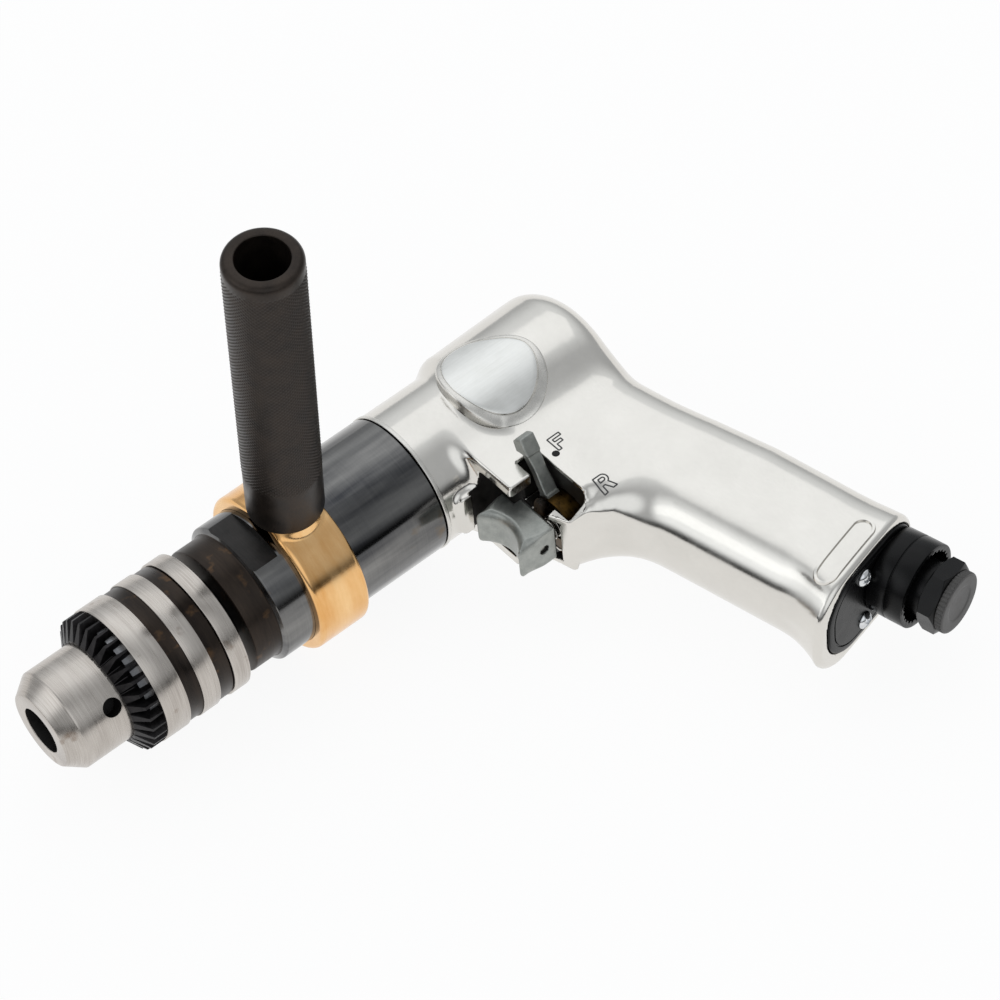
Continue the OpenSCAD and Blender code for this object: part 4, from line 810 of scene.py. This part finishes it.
def leverField(x, y, z):
    # straight arm leaning toward the barrel, waisted a little, with a wedge-shaped thumb pad at its back
    v = lever
    a = math.radians(v["turn"])
    dy = y - v["pivot"]
    ly, lz = dy * math.cos(a) + z * math.sin(a), z * math.cos(a) - dy * math.sin(a)
    midX = (v["x"][0] + v["x"][1]) / 2
    slim, at, run = v["waist"]
    wide = v["wide"] - slim * np.exp(-((lz - at) / run) ** 2)
    arm = np.maximum(v["foot"] - lz, lz - v["top"])
    arm = roundCut(roundCut(arm, np.abs(ly) - v["thick"], v["edge"]), np.abs(x - midX) - wide, v["edge"])
    back = -v["thick"] - v["padDeep"] - 0.22 * (v["top"] - lz)
    under = v["top"] - v["padLong"] - 0.25 * ly
    pad = np.maximum(np.maximum(back - ly, ly - v["thick"]), np.maximum(under - lz, lz - v["top"]))
    pad = roundCut(pad, np.abs(x - midX) - v["padWide"], v["padEdge"])
    pad = roundCut(pad, (lz - v["top"] - ly * 0.35 - 0.3) * 0.94, 0.3)
    start, end = v["footEnds"]
    foot = boxField(x, ly, lz, (v["x"][0] + 0.1, -v["footHalf"], start),
                    (v["x"][1] - 0.1, v["footHalf"], end))
    return np.minimum(softUnion(arm, pad, 0.6), foot)


fieldPiece("reverse_lever_arm", leverField, (-155, 22, 6.5), (-147.5, 46, 28), lever["step"], tumbledZinc,
           "reverse", ["reverse_lever"])
spring = dict(start=-152.95, end=-144.85, r=3.2, wire=0.4, coils=5, y=42.0, steps=321, sides=10)


def throttleSpring():
    # round wire carried along a helix about the throttle's axis, with flat ends
    v = spring
    t = np.linspace(0, 1, v["steps"])
    turns = tau * v["coils"] * t
    run = v["end"] - v["start"] - 2 * v["wire"]
    x = v["start"] + v["wire"] + run * t
    centre = np.stack([x, v["y"] + v["r"] * np.cos(turns), v["r"] * np.sin(turns)], -1)
    along = np.gradient(centre, axis=0)
    along /= np.linalg.norm(along, axis=1)[:, None]
    out = np.stack([0 * t, np.cos(turns), np.sin(turns)], -1)
    side = np.cross(along, out)
    n = v["sides"]
    a = (np.arange(n) * tau / n)[None, :, None]
    verts = centre[:, None] + v["wire"] * (np.cos(a) * out[:, None] + np.sin(a) * side[:, None])
    count = len(t) * n
    ends = [list(range(n)), list(range(count - n, count))[::-1]]
    faces = gridFaces(len(t), n, flip=True).tolist() + ends
    piece = newPiece("throttle_spring_wire", verts.reshape(-1, 3), faces, springWire, "housing",
                     ["throttle_spring"], sharp=50)
    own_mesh(piece)
    return piece


throttleSpring()
print("trigger, lever and spring made")


plug = dict(r=9.3, ribs=44, rib=0.35, head=2.4, stem=5.5, end=14.0, dish=5.2, dishDeep=0.35)


def dustPlug():
    # domed head whose side is ribbed by a rounded wave
    p = plug
    rows = softCorners([(p["dishDeep"], 0.02), (p["dishDeep"], p["dish"]), (0.1, p["dish"] + 0.6),
                        (0.0, p["r"] - 0.7), (0.35, p["r"]), (p["head"], p["r"]), (p["head"], p["stem"]),
                        (p["end"], p["stem"]), (p["end"], 0.02)], 0.2, 2)

    def wave(r, a):
        return r - p["rib"] * (r > p["r"] - 0.12) * (0.5 - 0.5 * np.cos(a * p["ribs"]))
    cols = p["ribs"] * 6
    return newPiece("ribbed_dust_plug", spunInlet(rows, cols, wave), gridFaces(len(rows), cols, flip=True),
                    plugGrey, "plug", ["dust_plug"], sharp=30)


dustPlug()
hexagon = dict(af=19.0, corner=10.97, face=9.3, chamfer=0.9, start=2.5, end=8.0, turn=15.0, neck=8.3,
               neckEnd=24.0, bore=5.6, boreDeep=6, cols=216)


def inletBush():
    # hexagon whose corners are turned off by a cone at both ends, on a round neck
    h = hexagon
    cone = [(h["chamfer"] * t, h["face"] + (h["corner"] - h["face"]) * t) for t in np.linspace(0, 1, 12)]
    mouth = [(h["start"] + h["boreDeep"], h["bore"]), (h["start"], h["bore"]), (h["start"], h["bore"] + 0.9)]
    front = [(h["start"] + s, r) for s, r in cone]
    rear = [(h["end"] - s, r) for s, r in cone[::-1]]
    neck = [(h["end"], h["neck"]), (h["neckEnd"], h["neck"])]
    rows = np.array(mouth + front + rear + neck)

    def wave(r, a):
        local = np.mod(a - math.radians(h["turn"]), tau / 6) - tau / 12
        return np.minimum(r, h["af"] / 2 / np.cos(local))
    return newPiece("inlet_hexagon", spunInlet(rows, h["cols"], wave),
                    gridFaces(len(rows), h["cols"], flip=True), nylon, "housing", ["inlet_bushing"], sharp=25)


inletBush()
deflector = dict(r=12.8, start=11.0, end=22.4, inner=8.4, wall=1.6, floor=17.0, seam=(17.1, 16.6),
                 seamDeep=0.28, ribs=30, rib=0.55)


def exhaustDeflector():
    # cup with a seam round its middle and a ribbed hollow at its open end
    d = deflector
    r, wall, (top, low) = d["r"], d["r"] - d["wall"], d["seam"]
    rows = softCorners([(d["end"], d["inner"]), (d["end"], r - 0.1), (top, r),
                        (top - 0.15, r - d["seamDeep"]), (low + 0.15, r - d["seamDeep"]), (low, r),
                        (d["start"], r), (d["start"], wall), (d["floor"], wall - 0.2),
                        (d["floor"], d["inner"])], 0.18, 2)

    def wave(r, a):
        inside = (r < wall + 0.05) & (r > d["inner"] + 0.5)
        return r - d["rib"] * inside * (np.cos(a * d["ribs"]) > 0)
    cols = d["ribs"] * 8
    return newPiece("deflector_cup", spunInlet(rows, cols, wave), gridFaces(len(rows), cols, closed=True),
                    nylon, "deflector", ["exhaust_deflector"], sharp=30)


exhaustDeflector()


def roundedLoop(u0, u1, half, backR, frontR, count=24):
    # outline of the grip's section: four corner arcs joined by straights
    t, quarter = np.linspace(0, math.pi / 2, count), math.pi / 2
    arcs = [(u1 - frontR, half - frontR, frontR, t), (u0 + backR, half - backR, backR, t + quarter),
            (u0 + backR, backR - half, backR, t + 2 * quarter),
            (u1 - frontR, frontR - half, frontR, t + 3 * quarter)]
    return np.concatenate([np.stack([cu + r * np.cos(v), cz + r * np.sin(v)], -1) for cu, cz, r, v in arcs])


cover = dict(u=(-10.3, 29.6), half=14.3, back=9.9, front=12.1, face=22.7, rear=25.6, centre=(10.0, 0.0))


def endCover():
    # outline carried inward in loops: rounded edge, a groove line, then the flat face down to the middle
    c = cover
    loop = roundedLoop(*c["u"], c["half"], c["back"], c["front"])
    rows = np.array([(1.0, c["rear"]), (1.0, c["face"] + 0.5), (0.985, c["face"] + 0.1), (0.96, c["face"]),
                     (0.885, c["face"]), (0.878, c["face"] + 0.35), (0.862, c["face"] + 0.35),
                     (0.855, c["face"]), (0.6, c["face"]), (0.02, c["face"])])
    mid = np.array(c["centre"])
    uv = mid + rows[:, None, :1] * (loop[None] - mid)
    verts = gripToRow(uv[..., 0], np.repeat(rows[:, 1:2], len(loop), 1), uv[..., 1]).reshape(-1, 3)
    return newPiece("end_cover", verts, gridFaces(len(rows), len(loop), flip=True), nylon, "housing",
                    ["exhaust_cover"], sharp=30)


endCover()
screw = dict(u=12.9, z=9.35, r=2.7, face=22.7, dome=3.15, sunk=1.25, edge=0.15, slot=0.42, arm=1.75,
             floor=0.7, turns=dict(a=(1, 0.35), b=(-1, 0.9)), step=0.14)  # turns: side and turn of each screw


def screwField(u, s, z):
    # part of a ball with a cross cut into it; s counts from the cover outward
    h = np.hypot(u, z)
    dome = np.sqrt(h ** 2 + (s + screw["sunk"]) ** 2) - screw["dome"]
    head = roundCut(np.maximum(dome, -s), h - screw["r"], screw["edge"])
    taper = screw["slot"] + 0.12 * np.clip(s - screw["floor"], 0, 2)
    cross = np.minimum(np.maximum(np.abs(u) - screw["arm"] - 0.1 * s, np.abs(z) - taper),
                       np.maximum(np.abs(z) - screw["arm"] - 0.1 * s, np.abs(u) - taper))
    return np.maximum(head, -np.maximum(cross, screw["floor"] - s))


local, quads, _ = fieldMesh(screwField, (-3, -0.3, -3), (3, 2.3, 3), screw["step"])
for name, (side, turn) in screw["turns"].items():
    lu = local[:, 0] * math.cos(turn) - local[:, 2] * math.sin(turn)
    lz = local[:, 0] * math.sin(turn) + local[:, 2] * math.cos(turn)
    verts = gripToRow(screw["u"] + lu, screw["face"] - local[:, 1], side * screw["z"] + lz)
    newPiece("cross_screw_" + name, verts, quads[:, ::-1], chrome, "housing", ["cover_screw_" + name],
             sharp=40)
print("inlet end made")


def sweptMark(name, loops, width, height, mat):
    # a small trapezoid profile carried along closed paths laid on the housing's side
    verts, faces = [], []
    for path in loops:
        path = np.asarray(path, float)
        along = np.roll(path, -1, 0) - np.roll(path, 1, 0)
        along /= np.maximum(np.linalg.norm(along, axis=1), 1e-9)[:, None]
        out = np.stack([along[:, 1], -along[:, 0]], -1)
        z = sideHeight(path[:, 0], path[:, 1])
        ring = []
        for w, h in ((-0.5, -0.3), (-0.5, 0.0), (-0.3, 1.0), (0.3, 1.0), (0.5, 0.0), (0.5, -0.3)):
            p = path + out * w * width
            ring.append(np.stack([p[:, 0], p[:, 1], z + (h * height if h > 0 else h)], -1))
        base = sum(len(v) for v in verts)
        verts.append(np.stack(ring, 1).reshape(-1, 3))
        faces.append(gridFaces(len(path), 6, closed=True, base=base))
    return newPiece(name, np.concatenate(verts), np.concatenate(faces), mat, "housing", sharp=30)


def pillLoop(mid, angle, long, half, count=20):  # two half circles and two straights, in short steps
    t = np.linspace(-math.pi / 2, math.pi / 2, count)
    one = np.stack([long + half * np.cos(t), half * np.sin(t)], -1)
    loop = np.concatenate([one, -one])
    seg = []
    for p, q in zip(loop, np.roll(loop, -1, 0)):
        n = max(int(np.linalg.norm(q - p) / 0.6), 1)
        seg.append(p + (q - p) * (np.arange(n) / n)[:, None])
    loop = np.concatenate(seg)
    c, s = math.cos(angle), math.sin(angle)
    return np.array(mid) + loop @ np.array([[c, s], [-s, c]])


pill = dict(u=13.0, s=28.9, long=8.7, half=3.1, width=1.2, height=0.6)
pillMid = gripToRow(np.array(pill["u"]), np.array(pill["s"]), np.array(0.0))[:2]
sweptMark("pill_outline", [pillLoop(pillMid, math.radians(inlet["rake"]), pill["long"], pill["half"])],
          pill["width"], pill["height"], castAlu)
letter = dict(stroke=0.48, height=0.12, space=0.22, f=(-158.7, 33.7), r=(-158.4, 53.4), dot=(-157.3, 34.0),
              dotR=1.15, dotCols=28)


def letterLoop(corners, foot):  # closed outline in letter sizes, up = -y and right = -x on the tool's side
    c = np.asarray(corners, float)
    step = [p + (q - p) * (np.arange(n) / n)[:, None] for p, q in zip(c, np.roll(c, -1, 0))
            for n in [max(int(np.linalg.norm(q - p) / letter["space"]), 1)]]
    c = np.concatenate(step)
    return np.stack([foot[0] - c[:, 0], foot[1] - c[:, 1]], -1)


arc = np.linspace(-1.05, math.pi / 2, 14)
bowl = np.stack([2.55 + 1.5 * np.cos(arc), 3.7 + 1.5 * np.sin(arc)], -1)
eye = np.linspace(-math.pi / 2, math.pi / 2, 9)
hollow = np.stack([2.45 + 0.55 * np.cos(eye), 3.7 + 0.55 * np.sin(eye)], -1)
letterF = [(0, 0), (1.15, 0), (1.15, 2.1), (3.3, 2.1), (3.3, 3.15), (1.15, 3.15), (1.15, 4.15), (4.2, 4.15),
           (4.2, 5.2), (0, 5.2)]
letterR = [(0, 0), (1.15, 0), (1.15, 2.1), (1.9, 2.1), (3.2, 0), (4.6, 0), *bowl.tolist(), (0, 5.2)]
letterEye = [(1.15, 3.15), *hollow.tolist(), (1.15, 4.25)]
sweptMark("direction_marks", [letterLoop(letterF, letter["f"]), letterLoop(letterR, letter["r"]),
                              letterLoop(letterEye, letter["r"])], letter["stroke"], letter["height"],
          markPaint)


def markDot():  # low dome on the side, as rings drawn in to the middle
    cols = letter["dotCols"]
    a = np.arange(cols) * tau / cols
    k = np.array([(1.0, -0.3), (1.0, 0.0), (0.8, 0.07), (0.4, 0.09), (0.03, 0.09)])
    x = letter["dot"][0] + letter["dotR"] * k[:, :1] * np.cos(a)
    y = letter["dot"][1] + letter["dotR"] * k[:, :1] * np.sin(a)
    z = sideHeight(x.ravel(), y.ravel()).reshape(x.shape) + k[:, 1:2]
    return newPiece("direction_dot", np.stack([x, y, z], -1).reshape(-1, 3), gridFaces(len(k), cols),
                    boreShadeAndDotBlack, "housing")


markDot()
print("marks made")


# the CAD nodes that stay, by finish
# the brass carries painted shade of the slot it sits in
dressed = [(brass, ("reverse_valve", "inlet_screen")),
           (springWire, ("throttle_stem", "trigger_pin", "front_bearing", "rotor_bearing_front",
                         "rotor_bearing_rear", "chuck_jaw_a", "chuck_jaw_b", "chuck_jaw_c")),
           (gearSteel, ("ring_gear", "planet_2a", "planet_2b", "planet_2c", "planet_1a", "planet_1b",
                        "planet_1c", "planet_pins_1", "planet_pins_2", "carrier_1", "rotor", "chuck_nut")),
           (innerAlu, ("motor_cylinder", "front_plate", "rear_plate", "valve_bush")),
           (innerDark, ("spindle", "chuck_screw", "handle_stud")), (vaneFibre, ("rotor_vanes",)),
           (sealRubber, ("spindle_seal",)), (feltGrey, ("muffler_felt",))]
for mat, names in dressed:
    for nodeName in names:
        data = nodes[nodeName].data
        data.materials.clear()
        data.materials.append(mat)
print("CAD nodes dressed")


studio = dict(floor="#ffffff", floorGlow=0.92, floorHalf=2.0, floorGap=0.0004, sky=0.5,
              tint=(0.97, 1.0, 1.03, 1), top=0.42, topDir=(-0.37, -0.48, 0.8), topWide=(0.56, 0.97),
              strip=0.75, stripDir=(0.82, -0.3, 0.52), stripWide=(0.82, 0.99), tent=0.55,
              tentDir=(0.3, 0.7, 0.6), tentWide=(0.8, 0.97), edge=0.04, edgeWide=(0.3, 0.05),
              edgeDir=(0.62, 0.78, 0.0), edgeFrom=(0.0, 0.35))
lamps = dict(key=((-0.5, -0.6, 1.3), (1.6, 1.2), 1.6),
             side=((0.75, -0.25, 0.72), (0.9, 0.36), 0.25))  # place and size in metres, watts


def whiteFloor():
    # paper that glows for the eye and in mirrors, and still keeps a shadow
    mat = bpy.data.materials.new("white_paper_floor")
    tree = clearTree(mat)
    rays = addNode(tree, "LightPath")
    seen = addNode(tree, "Math", {0: rays.outputs["Is Camera Ray"], 1: rays.outputs["Is Glossy Ray"]},
                   operation="MAXIMUM")
    seen = addNode(tree, "Math", {0: seen, 1: rays.outputs["Is Transmission Ray"]}, operation="MAXIMUM")
    fac = addNode(tree, "Math", {0: seen, 1: studio["floorGlow"]}, operation="MULTIPLY")
    paper = addNode(tree, "BsdfDiffuse", {"Color": hexColour(studio["floor"])})
    glow = addNode(tree, "Emission", {"Color": (1, 1, 1, 1), "Strength": 1.0})
    mix = addNode(tree, "MixShader", {0: fac, 1: paper, 2: glow})
    addNode(tree, "OutputMaterial", {"Surface": mix})
    mesh = bpy.data.meshes.new("floor")
    r, z = studio["floorHalf"], cadLow.z - studio["floorGap"]
    mesh.from_pydata([(-r, -r, z), (r, -r, z), (r, r, z), (-r, r, z)], [], [(0, 1, 2, 3)])
    mesh.materials.append(mat)
    addObject("floor", mesh)


whiteFloor()


def studioWorld():  # grey room with three soft boxes, dark low down on the camera's side
    world = bpy.data.worlds.new("studio")
    bpy.context.scene.world = world
    tree = clearTree(world)
    direction = addNode(tree, "TexCoord").outputs["Generated"]
    level = studio["sky"]
    for name in ("top", "strip", "tent"):  # each box by the cosine of the angle from its middle
        toward = Vector(studio[name + "Dir"]).normalized()
        dot = addNode(tree, "VectorMath", {0: direction, 1: tuple(toward)}, operation="DOT_PRODUCT")
        low, high = studio[name + "Wide"]
        box = addNode(tree, "MapRange", {"Value": dot.outputs["Value"], "From Min": low, "From Max": high},
                      interpolation_type="SMOOTHSTEP")
        level = addNode(tree, "Math", {0: box, 1: studio[name], 2: level}, operation="MULTIPLY_ADD")
    split = addNode(tree, "SeparateXYZ", {0: direction})
    dot = addNode(tree, "VectorMath", {0: direction, 1: studio["edgeDir"]}, operation="DOT_PRODUCT")
    cover = []
    for value, name in ((split.outputs["Z"], "edgeWide"), (dot.outputs["Value"], "edgeFrom")):
        low, high = studio[name]
        cover.append(addNode(tree, "MapRange", {"Value": value, "From Min": low, "From Max": high},
                             interpolation_type="SMOOTHSTEP"))
    dark = addNode(tree, "Math", {0: cover[0], 1: cover[1]}, operation="MULTIPLY")
    dim = addNode(tree, "MapRange", {"Value": dark, "To Min": 1.0, "To Max": studio["edge"]})
    level = addNode(tree, "Math", {0: level, 1: dim}, operation="MULTIPLY")
    rays = addNode(tree, "LightPath")
    room = addNode(tree, "Background", {"Color": studio["tint"], "Strength": level})
    white = addNode(tree, "Background", {"Color": (1, 1, 1, 1), "Strength": 1.0})
    both = addNode(tree, "MixShader", {0: rays.outputs["Is Camera Ray"], 1: room, 2: white})
    addNode(tree, "OutputWorld", {"Surface": both})


studioWorld()


def softLamp(name, place, target, size, power):  # rectangle that faces the target
    data = bpy.data.lights.new(name, "AREA")
    data.shape, data.size, data.size_y, data.energy = "RECTANGLE", size[0], size[1], power
    lamp = addObject(name, data)
    back = (Vector(place) - Vector(target)).normalized()
    lamp.matrix_world = Matrix.Translation(place) @ back.to_track_quat("Z", "Y").to_matrix().to_4x4()


middle = (-0.11, 0.05, 0.0)
for name, (place, size, power) in lamps.items():
    softLamp(name, place, middle, size, power)

view = dict(place=(274.62, 613.96, 865.43), right=(-0.76075, 0.64504, -0.072),
            up=(-0.53277, -0.55725, 0.63688), back=(0.3707, 0.52287, 0.76759), lens=144.0, sensor=36.0)
camData = bpy.data.cameras.new("photo_camera")
camData.lens, camData.sensor_width, camData.sensor_fit = view["lens"], view["sensor"], "AUTO"
camData.clip_start, camData.clip_end = 0.05, 20
camera = addObject("photo_camera", camData)
turn = Matrix([view["right"], view["up"], view["back"]]).transposed().to_4x4()
camera.matrix_world = Matrix.Translation(Vector(view["place"]) * mm) @ turn
bpy.context.scene.camera = camera
bpy.context.scene.view_settings.view_transform = "Standard"
print("floor, light and camera set")
